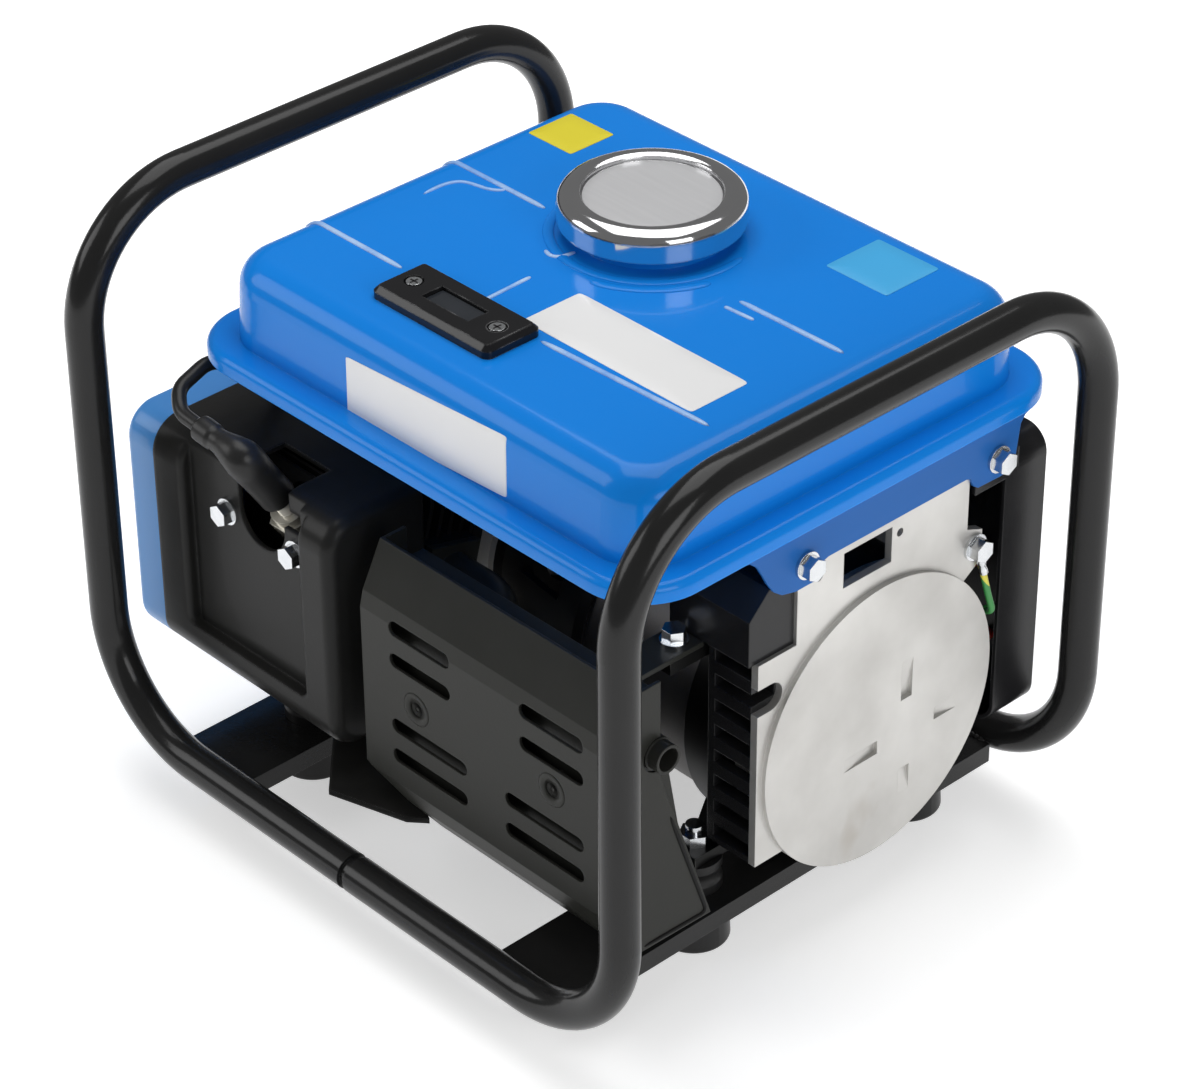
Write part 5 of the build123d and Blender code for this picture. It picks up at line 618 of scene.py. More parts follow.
def plate(seat: Seat, half: Pair, thick: float, squareness: float = 16.0,
          sides: int = 96, rings: int = 2) -> np.ndarray:
    """Thin closed plate: a superellipse outline carried over an edge profile.

    The outline is (a |cos t|^(2/p), b |sin t|^(2/p)) with the signs of cos and sin, so a high p
    gives a rectangle with small round corners and p 2 gives an ellipse. Each ring of the profile
    scales the outline and lifts it.

    Args:
        seat: Middle of the underside, with the outline's two directions.
        half: Half length and half width.
        thick: Thickness.
        squareness: The power p.
        sides: Points round the outline.
        rings: Rings on the flat of each side, more where the plate is bent afterwards.

    Returns:
        The grid of points, from the top's middle to the underside's middle.
    """
    t = np.linspace(0, 2 * np.pi, sides, endpoint=False) + np.pi / sides
    x = half[0] * np.sign(np.cos(t)) * np.abs(np.cos(t)) ** (2 / squareness)
    y = half[1] * np.sign(np.sin(t)) * np.abs(np.sin(t)) ** (2 / squareness)
    inset = min(0.4 * thick / min(half), 0.2)
    top = np.linspace(0, 1 - inset, rings + 1)
    under = np.linspace(1, 0, rings)
    ring = np.concatenate([top, [1 - 0.3 * inset, 1.0], under])[:, None]
    lift = np.concatenate([np.ones(rings + 1), [0.88, 0.6], np.zeros(rings)])[:, None] * thick
    return seat.place(ring * x, ring * y, np.broadcast_to(lift, (len(ring), sides)))


def turned(seat: Seat, profile: list[Pair], sides: int = 64) -> np.ndarray:
    """Surface of revolution: each profile point (r, h) goes round the seat's out direction.

    Args:
        seat: Middle, whose right and up lie in the plane of each ring.
        profile: Radius and height of each ring.
        sides: Points in a ring.

    Returns:
        The grid of points.
    """
    t = np.linspace(0, 2 * np.pi, sides, endpoint=False)
    r, h = (np.array(values)[:, None] for values in zip(*profile))
    return seat.place(r * np.cos(t), r * np.sin(t), np.broadcast_to(h, (len(profile), sides)))


def bead(path: np.ndarray, width: float, height: float, up: np.ndarray | None = None, ripple: float = 0.0,
         waves: int = 0) -> np.ndarray:
    """Raised bead: an ellipse across the path, drawn in to a point at both ends.

    The section at share s of the path is e(s) times an ellipse of the half width and the height,
    with e(s) the square root of 1 - (2 s - 1)^12, times 1 + ripple sin(2 pi waves s).

    Args:
        path: Points of the bead's line, on the surface that it rises from.
        width: Half width.
        height: Rise over the surface.
        up: The surface's direction at each point, or none for a level surface.
        ripple: Share by which a weld's ripples swell the section.
        waves: Number of ripples.

    Returns:
        The grid of points.
    """
    up = np.broadcast_to([0.0, 0.0, 1.0], path.shape) if up is None else up
    along = np.gradient(path, axis=0)
    along /= np.linalg.norm(along, axis=1)[:, None]
    side = np.cross(along, up)
    s = np.linspace(0, 1, len(path))
    swell = np.sqrt(np.maximum(0, 1 - (2 * s - 1) ** 12)) * (1 + ripple * np.sin(2 * np.pi * waves * s))
    t = np.linspace(0, 2 * np.pi, 16, endpoint=False)
    across = side[:, None, :] * (width * swell[:, None] * np.cos(t))[..., None]
    rise = up[:, None, :] * (height * swell[:, None] * np.sin(t))[..., None]
    return path[:, None, :] + across + rise


def bend(points: list[Point], count: int = 48) -> np.ndarray:
    """Smooth line that starts and ends at the outer points and is drawn towards those between.

    It is a Bezier line: the points weighted by the Bernstein polynomials of its degree.

    Args:
        points: The points.
        count: Number of points on the line.

    Returns:
        The line's points.
    """
    n = len(points) - 1
    t = np.linspace(0, 1, count)[:, None]
    k = np.arange(n + 1)
    ways = np.array([math.comb(n, i) for i in k])
    return (ways * t ** k * (1 - t) ** (n - k)) @ np.array(points, float)


def swept(path: np.ndarray, radii: np.ndarray, side: Point, sides: int = 40) -> np.ndarray:
    """Round bar of changing radius along a path that lies in a plane.

    Args:
        path: Points of the middle line.
        radii: Radius at each point.
        side: Direction at right angles to the plane of the path.
        sides: Points in a ring.

    Returns:
        The grid of points, closed to a point at both ends.
    """
    along = np.gradient(path, axis=0)
    along /= np.linalg.norm(along, axis=1)[:, None]
    across = np.array(side, float)
    t = np.linspace(0, 2 * np.pi, sides, endpoint=False)[None, :, None]
    ring = np.cos(t) * across + np.sin(t) * np.cross(along, across)[:, None, :]
    grid = path[:, None, :] + np.array(radii)[:, None, None] * ring
    caps = [np.broadcast_to(path[i], (1, sides, 3)) for i in (0, -1)]
    return np.concatenate([caps[0], grid, caps[1]])


def box_mm(node: str) -> tuple[np.ndarray, np.ndarray]:
    """Lowest and highest corner of a node, in millimetres."""
    low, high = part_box(node)
    return np.array(low) / MM, np.array(high) / MM


def crosses(seats: list[Seat], reach: float, width: float, thick: float) -> list[np.ndarray]:
    """Crossed bars as in a screw's head: two thin plates of half length reach and half width on each seat."""
    return [plate(seat, half, thick, 12, 24) for seat in seats for half in ((reach, width), (width, reach))]


def line(start: Point, end: Point, count: int = 48) -> np.ndarray:
    """Evenly spaced points from start to end."""
    return np.array(start) + np.linspace(0, 1, count)[:, None] * (np.array(end) - np.array(start))


def arc(centre: Point, r: float, first: float, last: float, count: int = 64) -> np.ndarray:
    """Points on a level circle round centre, from one angle in degrees to another."""
    t = np.radians(np.linspace(first, last, count))
    return np.array(centre) + r * np.stack([np.cos(t), np.sin(t), 0 * t], 1)


def ring_bundle(centre: Point, r: float, half: Pair, strands: int, twist: int, depth: float) -> np.ndarray:
    """Bundle of strands round the X direction: a ring whose section is fluted and twisted.

    The section at angle u has the radius 1 - depth + depth |cos(strands v / 2 + twist u / 2)|,
    scaled to the half width along X and the half height outwards.

    Args:
        centre: Middle of the ring.
        r: Radius to the section's middle.
        half: Half width along X and half height along the radius.
        strands: Strands seen round the section.
        twist: Number of strands by which the pattern moves in one trip round the ring.
        depth: Depth of the grooves as a share of the section.

    Returns:
        The grid of points.
    """
    u = np.linspace(0, 2 * np.pi, 240, endpoint=False)[:, None]
    v = np.linspace(0, 2 * np.pi, 12 * strands, endpoint=False)[None, :]
    swell = 1 - depth + depth * np.abs(np.cos(strands * v / 2 + twist * u / 2))
    out = r + half[1] * swell * np.sin(v)
    x = np.broadcast_to(half[0] * swell * np.cos(v), out.shape)
    return np.array(centre) + np.stack([x, out * np.cos(u), out * np.sin(u)], -1)


@dataclass
class Assembly:
    """A group of pieces that is dressed together.

    Attributes:
        palette: The finishes.
    """

    palette: Palette

    def add(self, name: str, grids: list[np.ndarray], finish: str, slot: str = "", body: str = "chassis",
            close_rows: bool = False) -> bpy.types.Object:
        """Makes one piece, dresses it and lets it ride.

        Args:
            name: Piece name.
            grids: Its grids of points.
            finish: Name of its finish.
            slot: Material slot in the record, or none where the finish has the slot's name; not used.
            body: Body that it moves with.
            close_rows: Joins each grid's last row to its first.

        Returns:
            The piece.
        """
        piece = mesh_object(name, grids, close_rows)
        self.palette.put(piece, finish)
        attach(piece, body)
        LOG.info("piece %s: %d faces", name, len(piece.data.polygons))
        return piece


@dataclass
class Solids(Assembly):
    """The carried-over solids and the finish that each one wears."""

    nodes: dict = field(default_factory=dict)
    wear: dict[str, tuple[str, ...]] = field(default_factory=lambda: {
        "frame_black": ("left_hoop", "right_hoop", "cross_rails"),
        "rubber_black": ("rubber_feet", "isolators", "plug_boot", "ht_lead", "cap_gasket", "fuel_hose"),
        "shroud_black": ("engine_bed", "fan_shroud"),
        "cast_alloy": ("crankcase_left", "crankcase_right", "flywheel"),
        # Painted shade: these parts are drawn near-black because they sit in shadow.
        "painted_shade_black": ("cylinder", "cylinder_head", "alternator_bell"),
        # The end plate's finish also paints near-black shade on the casting behind the plate.
        "plate_alloy": ("alternator_end_plate",),
        "dark_steel": ("main_bearings", "crankshaft", "con_rod", "engine_pins", "recoil_pawl"),
        "machined_alloy": ("piston", "carburettor", "fuel_tap"),
        "ceramic": ("spark_plug",),
        "plastic_black": ("ignition_coil", "starter_grip", "reed_manifold", "choke_lever", "air_filter_case",
                          "air_filter_cover", "vent_louvre", "capacitor_box", "fuel_tap_lever", "control_panel"),
        # Gauge bezel with painted highlights on its edges.
        "bezel_black_painted_highlight": ("gauge_bezel",),
        "cover_blue": ("recoil_housing",),
        "plastic_grey": ("recoil_reel", "fuel_float", "ac_socket", "socket_flap"),
        "cord_white": ("starter_rope",),
        "shield_dark": ("muffler", "muffler_shield"),
        "zinc_steel": ("throttle_lever", "fasteners"),
        "iron": ("stator_core", "rotor"),
        "copper": ("stator_windings",),
        "tank_blue": ("tank_upper", "tank_lower"),
        # Darker copy of the tank's blue: painted shade on the brackets.
        "bracket_painted_shade_blue": ("tank_brackets",),
        "chrome": ("filler_cap",),
        "plastic_red": ("dc_terminals", "engine_switch", "breaker_button", "voltmeter_needle"),
        "wire_green": ("earth_wire",),
    })

    def dress(self) -> None:
        """Gives each node its finish."""
        for finish, names in self.wear.items():
            for name in names:
                self.palette.put(self.nodes[name], finish)
        LOG.info("%d solids dressed", len(self.nodes))


@dataclass
class Tank(Assembly):
    """Stamped beads, blank labels, cap inlay and ring, and gauge window of the fuel tank."""

    top: float = 278.0
    foot_z: float = 229.0
    front_y: float = -100.0
    left_x: float = -136.0
    lean: float = 3.0
    edge_r: float = 15.0
    bead_foot: float = 38.0
    label_at: Pair = (6.5, 22.0)
    label_half: Pair = (51.5, 14.5)
    label_thick: float = 0.3
    label_turn: float = 3.0
    bead_half: float = 1.5
    bead_rise: float = 1.0
    small_half: float = 1.1
    ring_half: float = 2.6
    low_rise: float = 0.8
    neck: Pair = (-14.0, 55.0)
    cap_dish_z: float = 296.0
    gauge: Pair = (-19.0, -58.0)
    pane_z: float = 281.6
    gauge_screw_x: float = 27.0
    gauge_screw_rise: float = 5.95
    sink: float = 0.05

    def wall(self, s: np.ndarray) -> tuple[np.ndarray, np.ndarray, np.ndarray, np.ndarray]:
        """Section of the wall and its rounded top edge, from the wall's foot.

        At distance s the section has turned from upright by the angle q: the wall's lean up to the
        rounding, then s over the radius more, and a right angle on the top. Its inward and upward
        distances are the sums of sin q and cos q.

        Args:
            s: Distances along the section.

        Returns:
            Distance inwards, distance up, and the outward direction's inward and upward parts.
        """
        lean = math.radians(self.lean)
        height = self.top - self.foot_z
        flat = (height - self.edge_r * (1 - math.sin(lean))) / math.cos(lean)
        turn = math.pi / 2 - lean
        rest = np.maximum(s - flat - self.edge_r * turn, 0)
        q = lean + np.clip((s - flat) / self.edge_r, 0, turn)
        straight = np.minimum(s, flat)
        inward = straight * math.sin(lean) + self.edge_r * (math.cos(lean) - np.cos(q)) + rest
        up = straight * math.cos(lean) + self.edge_r * (np.sin(q) - math.sin(lean))
        return inward, up, -np.cos(q), np.sin(q)

    def build(self) -> None:
        """Makes the tank's pieces."""
        self.beads()
        self.labels()
        self.cap()
        self.window()

    def over_left_edge(self, y: float, end_x: float) -> np.ndarray:
        """Bead from the left wall's rounding to a point on the top.

        Args:
            y: Its place across the tank.
            end_x: Where it ends on the top.

        Returns:
            The grid of points.
        """
        inward, up, out_x, out_z = self.wall(np.linspace(self.bead_foot, self.bead_foot + end_x - self.left_x - 1, 120))
        path = np.stack([self.left_x + inward, np.full_like(up, y), self.foot_z + up], 1)
        return bead(path, self.bead_half, self.bead_rise, np.stack([out_x, 0 * up, out_z], 1))

    def beads(self) -> None:
        """Raised lines pressed into the sheet: long ones across the top, small ones and neck rings."""
        z = self.top
        x, y = self.neck
        long = [self.over_left_edge(-48.0, -62.0), self.over_left_edge(34.0, -58.0)]
        long += [bead(line((x0, y0, z), (x1, y1, z)), self.bead_half, self.bead_rise)
                 for x0, y0, x1, y1 in ((22, -46, 121, -42), (57, 39, 119, 40))]
        hook = bend([(-110, 3, z), (-112, 25, z), (-108, 29, z), (-92, 22, z), (-87, 33, z)])
        small = [bead(path, self.small_half, self.low_rise) for path in (
            line((-20, -42, z), (-21, -12, z)),
            hook,
            line((56, 31, z), (73, 32, z)),
            bend([(-34, 8.5, z), (-24, 3, z), (-23.5, 17, z)]),
        )]
        rings = [bead(arc((x, y, z), r, first, last), self.ring_half, self.low_rise)
                 for r, first, last in ((46.5, 190, 375), (53, 285, 345))]
        # The long and small beads wear pale painted highlights.
        self.add("tank_beads", long + small, "bead_painted_highlight", "tank_blue")
        self.add("neck_rings", rings, "tank_blue")

    def labels(self) -> None:
        """Blank stickers: one that follows the front wall, and three on the top."""
        sticker = plate(Seat((0, 0, 0)), self.label_half, self.label_thick, 40, 240, 24)
        turn = math.radians(self.label_turn)
        a, b, lift = sticker[..., 0], sticker[..., 1], sticker[..., 2] - self.sink
        inward, up, out_y, out_z = self.wall(self.label_at[1] + a * math.sin(turn) + b * math.cos(turn))
        across = self.label_at[0] + a * math.cos(turn) - b * math.sin(turn)
        front = np.stack([across, self.front_y + inward + lift * out_y, self.foot_z + up + lift * out_z], -1)
        self.add("front_label", [front], "label_white", "tank_blue")
        for name, x, y, half_x, half_y, finish in (
            ("top_label", 56.0, -23.0, 52.0, 17.0, "label_white"),
            ("blue_tag", 80.0, 105.0, 18.4, 17.0, "label_blue"),
            ("yellow_tag", -106.0, 91.0, 14.6, 13.8, "label_yellow"),
        ):
            seat = Seat((x, y, self.top - self.sink))
            self.add(name, [plate(seat, (half_x, half_y), self.label_thick, 30)], finish, "tank_blue")

    def cap(self) -> None:
        """Plain brushed disc in the cap's dish, inside a rolled bright ring."""
        seat = Seat((*self.neck, self.cap_dish_z))
        profile = [(0, 0.7), (26, 0.65), (30.6, 0.5), (31.3, 0.3), (31.4, 0.02), (0, 0.02)]
        self.add("cap_inlay", [turned(seat, profile, 96)], "cap_inlay_grey", "chrome", "cap")
        roll = [(32.05, 0.8), (32.2, 2.3), (33.2, 2.95), (35.2, 3.35), (37.2, 3.2), (39.2, 2.6), (41.0, 1.65),
                (42.3, 0.4), (43.05, -1.4), (43.15, -2.6), (42.5, -2.7), (38.0, 1.0), (32.05, 0.8)]
        self.add("cap_ring", [turned(seat, roll, 128)], "chrome", body="cap")

    def window(self) -> None:
        """Smoked pane over the gauge's opening, and the crosses in its screws."""
        grid = plate(Seat((*self.gauge, self.pane_z)), (14.8, 5.8), 0.8, 20)
        self.add("gauge_pane", [grid], "smoked_window", "plastic_grey")
        x, y = self.gauge
        seats = [Seat((x + side * self.gauge_screw_x, y, self.top + self.gauge_screw_rise)) for side in (-1, 1)]
        self.add("gauge_screw_slots", crosses(seats, 2.3, 0.5, 0.15), "plastic_black")


@dataclass
class PowerUnit(Assembly):
    """Boot, shield pressings, windings, rope, welds, hose clips and wire crimp of engine, alternator and frame."""

    crank_y: float = 35.0
    crank_z: float = 105.0
    boot_low: Point = (-89.0, -105.84, 173.22)
    boot_elbow: Point = (-89.0, -124.90, 202.57)
    boot_end: Point = (-118.89, -124.90, 205.19)
    shield_y: float = -116.0
    shield_end_x: float = 141.0
    dimples: tuple[Pair, ...] = ((14.0, 114.0), (102.0, 118.0))
    rail_x: float = 109.0
    rail_end_y: float = 134.6
    weld_z: float = 30.2
    weld_half: float = 20.0
    hose_r: float = 4.5
    hose_clips: tuple[Seat, ...] = (Seat((-67.0, 116.0, 95.0), (0, 1, 0), (0, 0, 1)),
                                    Seat((-25.0, 116.0, 179.0), (1, 0, 0), (0, 1, 0)))
    wire_start: Point = (152.2, 97.4, 162.4)
    wire_next: Point = (152.2, 104.0, 141.0)

    def build(self) -> None:
        """Makes the pieces."""
        self.boot()
        self.dishes()
        self.rim()
        self.windings()
        self.rope()
        self.welds()
        self.clips()
        self.crimp()

    def boot(self) -> None:
        """Moulded elbow over the plug, thickest at its bend, with a rolled cuff for the lead."""
        low, elbow, end = (np.array(p) for p in (self.boot_low, self.boot_elbow, self.boot_end))
        path = bend([low, elbow, elbow, elbow, end], 90)
        step = np.linalg.norm(np.diff(path, axis=0), axis=1)
        share = np.concatenate([[0], np.cumsum(step)]) / step.sum()
        stations = [0.0, 0.015, 0.06, 0.30, 0.46, 0.54, 0.62, 0.74, 0.80, 0.815, 0.83, 0.95, 0.985, 1.0]
        radii = [7.6, 8.8, 8.6, 8.7, 9.2, 9.1, 7.8, 5.9, 5.5, 5.6, 6.2, 6.3, 6.1, 5.0]
        side = np.cross(elbow - low, end - elbow)
        grid = swept(path, np.interp(share, stations, radii), side / np.linalg.norm(side))
        boot = self.add("moulded_boot", [grid], "rubber_black")
        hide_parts("plug_boot")

    def dishes(self) -> None:
        """Pressed dishes on the muffler's shield, each with a low rim."""
        profile = [(0, -0.62), (1.6, -0.60), (3.2, -0.48), (4.6, -0.22), (5.6, 0.10), (6.6, 0.30), (7.5, 0.30),
                   (8.2, 0.12), (8.5, -0.05), (0, -0.7)]
        grids = [turned(Seat((x, self.shield_y, z), (1, 0, 0), (0, 0, 1)), profile, 48) for x, z in self.dimples]
        self.add("shield_dishes", grids, "shield_dark")

    def rim(self) -> None:
        """Rolled rim along the back and lower edge of the shield's right end plate."""
        x = self.shield_end_x
        path = np.concatenate([line((x, -83.0, 108.0), (x, -62.5, 50.0), 40),
                               bend([(x, -62.0, 48.6), (x, -60.2, 43.6), (x, -65.5, 44.0)], 16),
                               line((x, -67.0, 44.1), (x, -98.5, 45.0), 30)])
        up = np.broadcast_to([1.0, 0.0, 0.0], path.shape)
        # The rim wears the same near-black painted-shade finish.
        self.add("shield_rim", [bead(path, 1.1, 0.9, up)], "painted_shade_black", "shield_dark")

    def windings(self) -> None:
        """Wound copper rings at both ends of the stator."""
        low, high = box_mm("stator_windings")
        core_low, core_high = box_mm("stator_core")
        r_out = (high[1] - low[1]) / 2
        grids = []
        for x0, x1 in ((low[0], core_low[0]), (core_high[0], high[0])):
            half = (x1 - x0) / 2
            centre = ((x0 + x1) / 2, self.crank_y, self.crank_z)
            grids.append(ring_bundle(centre, r_out - half * 0.9, (half * 0.98, half * 0.88),
                                     strands=9, twist=36, depth=0.16))
        coil = self.add("wound_coils", grids, "copper", close_rows=True)
        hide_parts("stator_windings")

    def rope(self) -> None:
        """Twisted rope lying in the reel's groove."""
        low, high = box_mm("starter_rope")
        half = (high[0] - low[0]) / 2
        r = (high[1] - low[1]) / 2 - half
        centre = ((low[0] + high[0]) / 2, self.crank_y, self.crank_z)
        grid = ring_bundle(centre, r, (half, half), strands=3, twist=60, depth=0.18)
        rope = self.add("wound_rope", [grid], "cord_white", body="reel", close_rows=True)
        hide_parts("starter_rope")

    def welds(self) -> None:
        """Rippled weld beads where the cross rails meet the lower tubes."""
        z, half = self.weld_z, self.weld_half
        paths = [line((x - half, y, z), (x + half, y, z), 160)
                 for x in (-self.rail_x, self.rail_x) for y in (-self.rail_end_y, self.rail_end_y)]
        grids = [bead(path, width=1.7, height=1.5, ripple=0.12, waves=14) for path in paths]
        self.add("rail_welds", grids, "frame_black")

    def clips(self) -> None:
        """Spring clips on both ends of the fuel hose: a band with two ears."""
        r = self.hose_r
        band = [(r, -2.5), (r + 0.7, -2.4), (r + 0.8, 0), (r + 0.7, 2.4), (r, 2.5), (r, -2.5)]
        grids = []
        for seat in self.hose_clips:
            grids.append(turned(seat, band, 48))
            out = np.cross(seat.right, seat.up)
            for side in (-1.4, 0.8):
                at = seat.place(*(np.array(v) for v in (side, r + 2.6, 0.0)))
                grids.append(plate(Seat(tuple(at), tuple(out), seat.up), (2.3, 2.4), 0.6, 12, 24))
        self.add("hose_clips", grids, "zinc_steel")

    def crimp(self) -> None:
        """Pressed barrel on the earth wire's upper end."""
        path = line(self.wire_start, self.wire_next, 60)[:26]
        share = np.linspace(0, 1, len(path))
        radii = np.interp(share, [0, 0.04, 0.3, 0.42, 0.62, 0.74, 0.97, 1], [1.7, 2.1, 2.1, 1.8, 1.8, 2.1, 2.1, 1.7])
        self.add("earth_crimp", [swept(path, radii, (1, 0, 0), 24)], "zinc_steel")


@dataclass
class Panel(Assembly):
    """Dial, glass, screws, switch marks and terminal caps of the control panel at the back."""

    meter: Pair = (112.0, 182.0)
    back_y: float = 141.0
    dial_y: float = 142.0
    pivot_drop: float = 8.0
    screws: tuple[Pair, ...] = ((24, 69), (24, 201), (141, 69), (141, 201))
    screw_rise: float = 1.35
    rocker: Point = (58.0, 146.45, 183.37)
    rocker_tilt: float = 9.0
    mark_rise: float = 5.6
    terminals: tuple[tuple[float, str], ...] = ((100.0, "plastic_red"), (124.0, "plastic_black"))
    terminal_z: float = 88.0
    terminal_r: float = 6.5
    terminal_reach: float = 10.0
    flutes: int = 24
    flute_depth: float = 0.035
    mark_r: float = 19.0
    mark_count: int = 13

    def seat(self, x: float, y: float, z: float) -> Seat:
        """Seat that looks out of the panel's back, with up along Z."""
        return Seat((x, y, z), (-1, 0, 0), (0, 0, 1))

    def build(self) -> None:
        """Makes the pieces."""
        self.voltmeter()
        self.corner_screws()
        self.rocker_marks()
        self.terminal_caps()

    def corner_screws(self) -> None:
        """Domed screws with a cross in the panel's corners."""
        dome = [(0, 1.5), (1.6, 1.4), (2.8, 0.9), (3.3, 0.2), (3.3, -0.05), (0, -0.05)]
        screws = [turned(self.seat(x, self.back_y, z), dome, 32) for x, z in self.screws]
        self.add("panel_screws", screws, "zinc_steel")
        tops = [self.seat(x, self.back_y + self.screw_rise, z) for x, z in self.screws]
        self.add("panel_screw_slots", crosses(tops, 1.9, 0.4, 0.17), "plastic_black")

    def rocker_marks(self) -> None:
        """A bar and a ring on the two halves of the tilted rocker."""
        tilt = math.radians(self.rocker_tilt)
        seat = Seat(self.rocker, (-1, 0, 0), (0, math.sin(tilt), math.cos(tilt)))
        bar, middle = (tuple(seat.place(*(np.array(v) for v in (0.0, rise, -0.05))))
                       for rise in (self.mark_rise, -self.mark_rise))
        ring = [(1.5, 0), (2.2, 0), (2.2, 0.2), (1.5, 0.2), (1.5, 0)]
        grids = [plate(Seat(bar, seat.right, seat.up), (0.45, 2.2), 0.2, 12, 24),
                 turned(Seat(middle, seat.right, seat.up), ring, 32)]
        self.add("rocker_marks", grids, "label_white", "plastic_red", "switch")

    def terminal_caps(self) -> None:
        """Knurled caps on the terminals: flutes round the side that run out at the rim."""
        t = np.linspace(0, 2 * np.pi, 192, endpoint=False)
        for x, finish in self.terminals:
            rims = [(0.0, 0.4, 0.0), (0.55, 0.4, 0.0), (0.86, 0.3, 0.0), (1.04, -0.8, 1.0), (1.06, -1.6, 1.0),
                    (1.06, 0.8 - self.terminal_reach, 1.0), (1.02, 0.02 - self.terminal_reach, 0.0),
                    (0.0, 0.02 - self.terminal_reach, 0.0)]
            share, lift, flute = (np.array(values)[:, None] for values in zip(*rims))
            r = self.terminal_r * share * (1 - self.flute_depth * flute * (1 + np.cos(self.flutes * t)) / 2)
            seat = self.seat(x, self.back_y + self.terminal_reach, self.terminal_z)
            grid = seat.place(r * np.cos(t), r * np.sin(t), np.broadcast_to(lift, r.shape))
            name = "terminal_cap_" + finish.removeprefix("plastic_")
            self.add(name, [grid], finish)

    def voltmeter(self) -> None:
        """Makes the dial, its marks and its glass."""
        x, z = self.meter
        face = [(0, 0.25), (18.4, 0.25), (18.7, 0.1), (18.7, 0.0), (0, 0.0)]
        self.add("meter_dial", [turned(self.seat(x, self.dial_y, z), face)], "dial_white", "plastic_grey")
        pivot_z = z - self.pivot_drop
        marks = []
        for k in range(self.mark_count):
            turn = math.radians(45 + 90 * k / (self.mark_count - 1))
            long = 2.2 if k % 3 == 0 else 1.3
            way = (-math.cos(turn), 0.0, math.sin(turn))
            at = tuple(a + self.mark_r * b for a, b in zip((x, self.dial_y + 0.22, pivot_z), way))
            across = (-math.sin(turn), 0.0, -math.cos(turn))
            marks.append(plate(Seat(at, way, across), (long, 0.3), 0.12, 12, 16))
        self.add("meter_marks", marks, "plastic_black")
        glass = [(0, 0.5), (18.5, 0.5), (18.8, 0.3), (18.8, 0.0), (0, 0.0)]
        pane = turned(self.seat(x, self.dial_y + 2.4, z), glass)
        self.add("meter_glass", [pane], "clear_window", "plastic_grey")


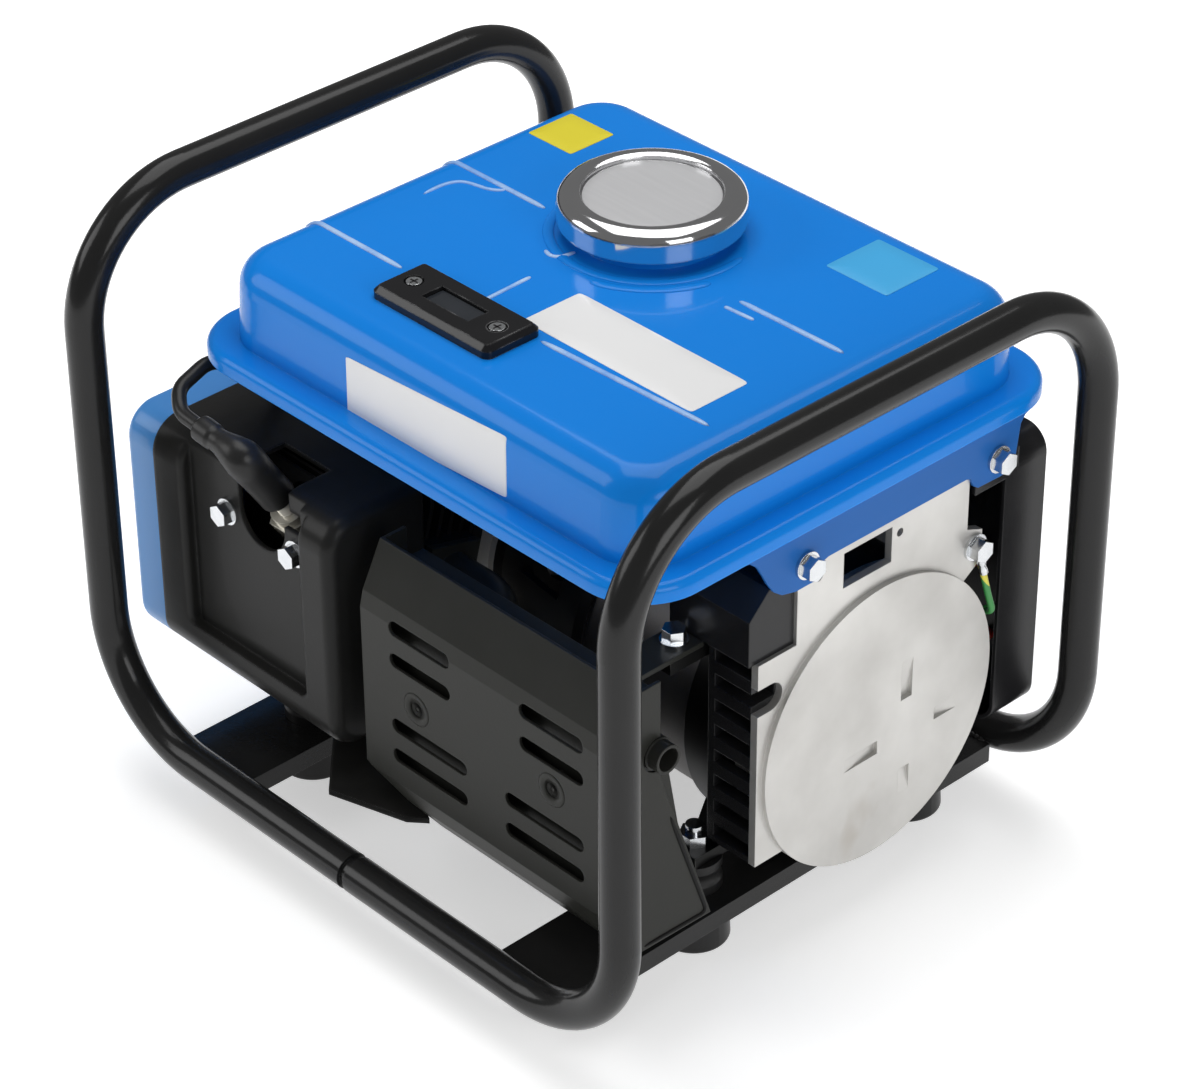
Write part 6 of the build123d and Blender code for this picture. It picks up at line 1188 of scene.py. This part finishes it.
@dataclass(frozen=True)
class Studio:
    """Floor, lights, world and camera.

    The camera comes from a fit to the picture: it looks at the object from an azimuth and an
    elevation, rolled a little, at a distance and with an offset in its own axes.
    """

    azimuth: float = 46.96
    elevation: float = 33.78
    roll: float = -0.40
    distance: float = 1922.51
    offset: Pair = (5.66, 92.60)
    fit_rise: float = 30.0
    focal_px: float = 4084.16
    image_width: float = 1200.0
    world_light: float = 0.18
    floor_r: float = 1800.0
    floor_thick: float = 2.0
    floor_glow: Pair = (0.5, 0.95)
    glow_span: Pair = (0.25, 1.1)

    def build(self, palette: Palette) -> None:
        """Makes the stage.

        Args:
            palette: The finishes.
        """
        self.floor(palette)
        self.world()
        self.lights()
        self.camera()

    def floor(self, palette: Palette) -> None:
        """Pale round floor just under the feet, which glows more and more outwards to stay white."""
        disc = plate(Seat((0, 0, -self.floor_thick)), (self.floor_r, self.floor_r), self.floor_thick, 2, 128)
        floor = mesh_object("floor", [disc])
        palette.put(floor, "stage_white")
        tree = floor.data.materials[0].node_tree
        away = add_node(tree, "VectorMath", {0: object_place(tree)}, operation="LENGTH")["Value"]
        feed(tree, tree.nodes["Principled BSDF"].inputs, {
            "Emission Color": (1.0, 1.0, 1.0, 1.0),
            "Emission Strength": ramp(tree, away, self.glow_span, self.floor_glow),
        })

    def world(self) -> None:
        """White surroundings to look at, dimmer in the light that they give."""
        world = bpy.data.worlds.new("studio")
        world.use_nodes = True
        tree = world.node_tree
        seen = add_node(tree, "LightPath")["Is Camera Ray"]
        feed(tree, tree.nodes["Background"].inputs, {
            "Color": (1.0, 1.0, 1.0, 1.0),
            "Strength": ramp(tree, seen, target=(self.world_light, 1.0)),
        })
        bpy.context.scene.world = world
        bpy.context.scene.view_settings.view_transform = "Standard"

    @staticmethod
    def lights() -> None:
        """A large soft box overhead, one at the left front and one at the right."""
        for name, at, size, power in (
            ("overhead", (-0.2, 0.3, 1.8), 1.5, 21.0),
            ("left_front", (-1.3, -1.3, 1.1), 1.0, 10.0),
            ("right", (1.7, -0.3, 0.9), 0.9, 10.0),
        ):
            data = bpy.data.lights.new(name, "AREA")
            data.shape = "SQUARE"
            data.size = size
            data.energy = power
            lamp = bpy.data.objects.new(name, data)
            lamp.location = at
            aim = Vector((0.0, 0.0, 0.15)) - Vector(at)
            lamp.rotation_euler = aim.to_track_quat("-Z", "Y").to_euler()
            bpy.context.scene.collection.objects.link(lamp)

    def camera(self) -> None:
        """Camera at the fitted place."""
        a, e, r = (math.radians(v) for v in (self.azimuth, self.elevation, self.roll))
        right = np.array([math.cos(a), math.sin(a), 0])
        back = np.array([math.sin(a) * math.cos(e), -math.cos(a) * math.cos(e), math.sin(e)])
        up = np.cross(back, right)
        turned_right = math.cos(r) * right + math.sin(r) * up
        turned_up = math.cos(r) * up - math.sin(r) * right
        place = self.offset[0] * turned_right + self.offset[1] * turned_up + self.distance * back
        place = (place + np.array([0, 0, self.fit_rise])) * MM
        data = bpy.data.cameras.new("camera")
        data.sensor_width = 36.0
        data.lens = self.focal_px * data.sensor_width / self.image_width
        data.clip_start, data.clip_end = 0.05, 50.0
        camera = bpy.data.objects.new("camera", data)
        axes = Matrix((turned_right, turned_up, back)).transposed()
        camera.matrix_world = Matrix.Translation(place) @ axes.to_4x4()
        bpy.context.scene.collection.objects.link(camera)
        bpy.context.scene.camera = camera


def main() -> None:
    """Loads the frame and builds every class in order."""
    logging.basicConfig(level=logging.INFO, format="%(name)s %(message)s")
    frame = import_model()
    palette = Palette()
    Solids(palette, frame["nodes"]).dress()
    for assembly in (Tank(palette), PowerUnit(palette), Panel(palette)):
        assembly.build()
    Studio().build(palette)


if __name__ == "__main__":
    main()
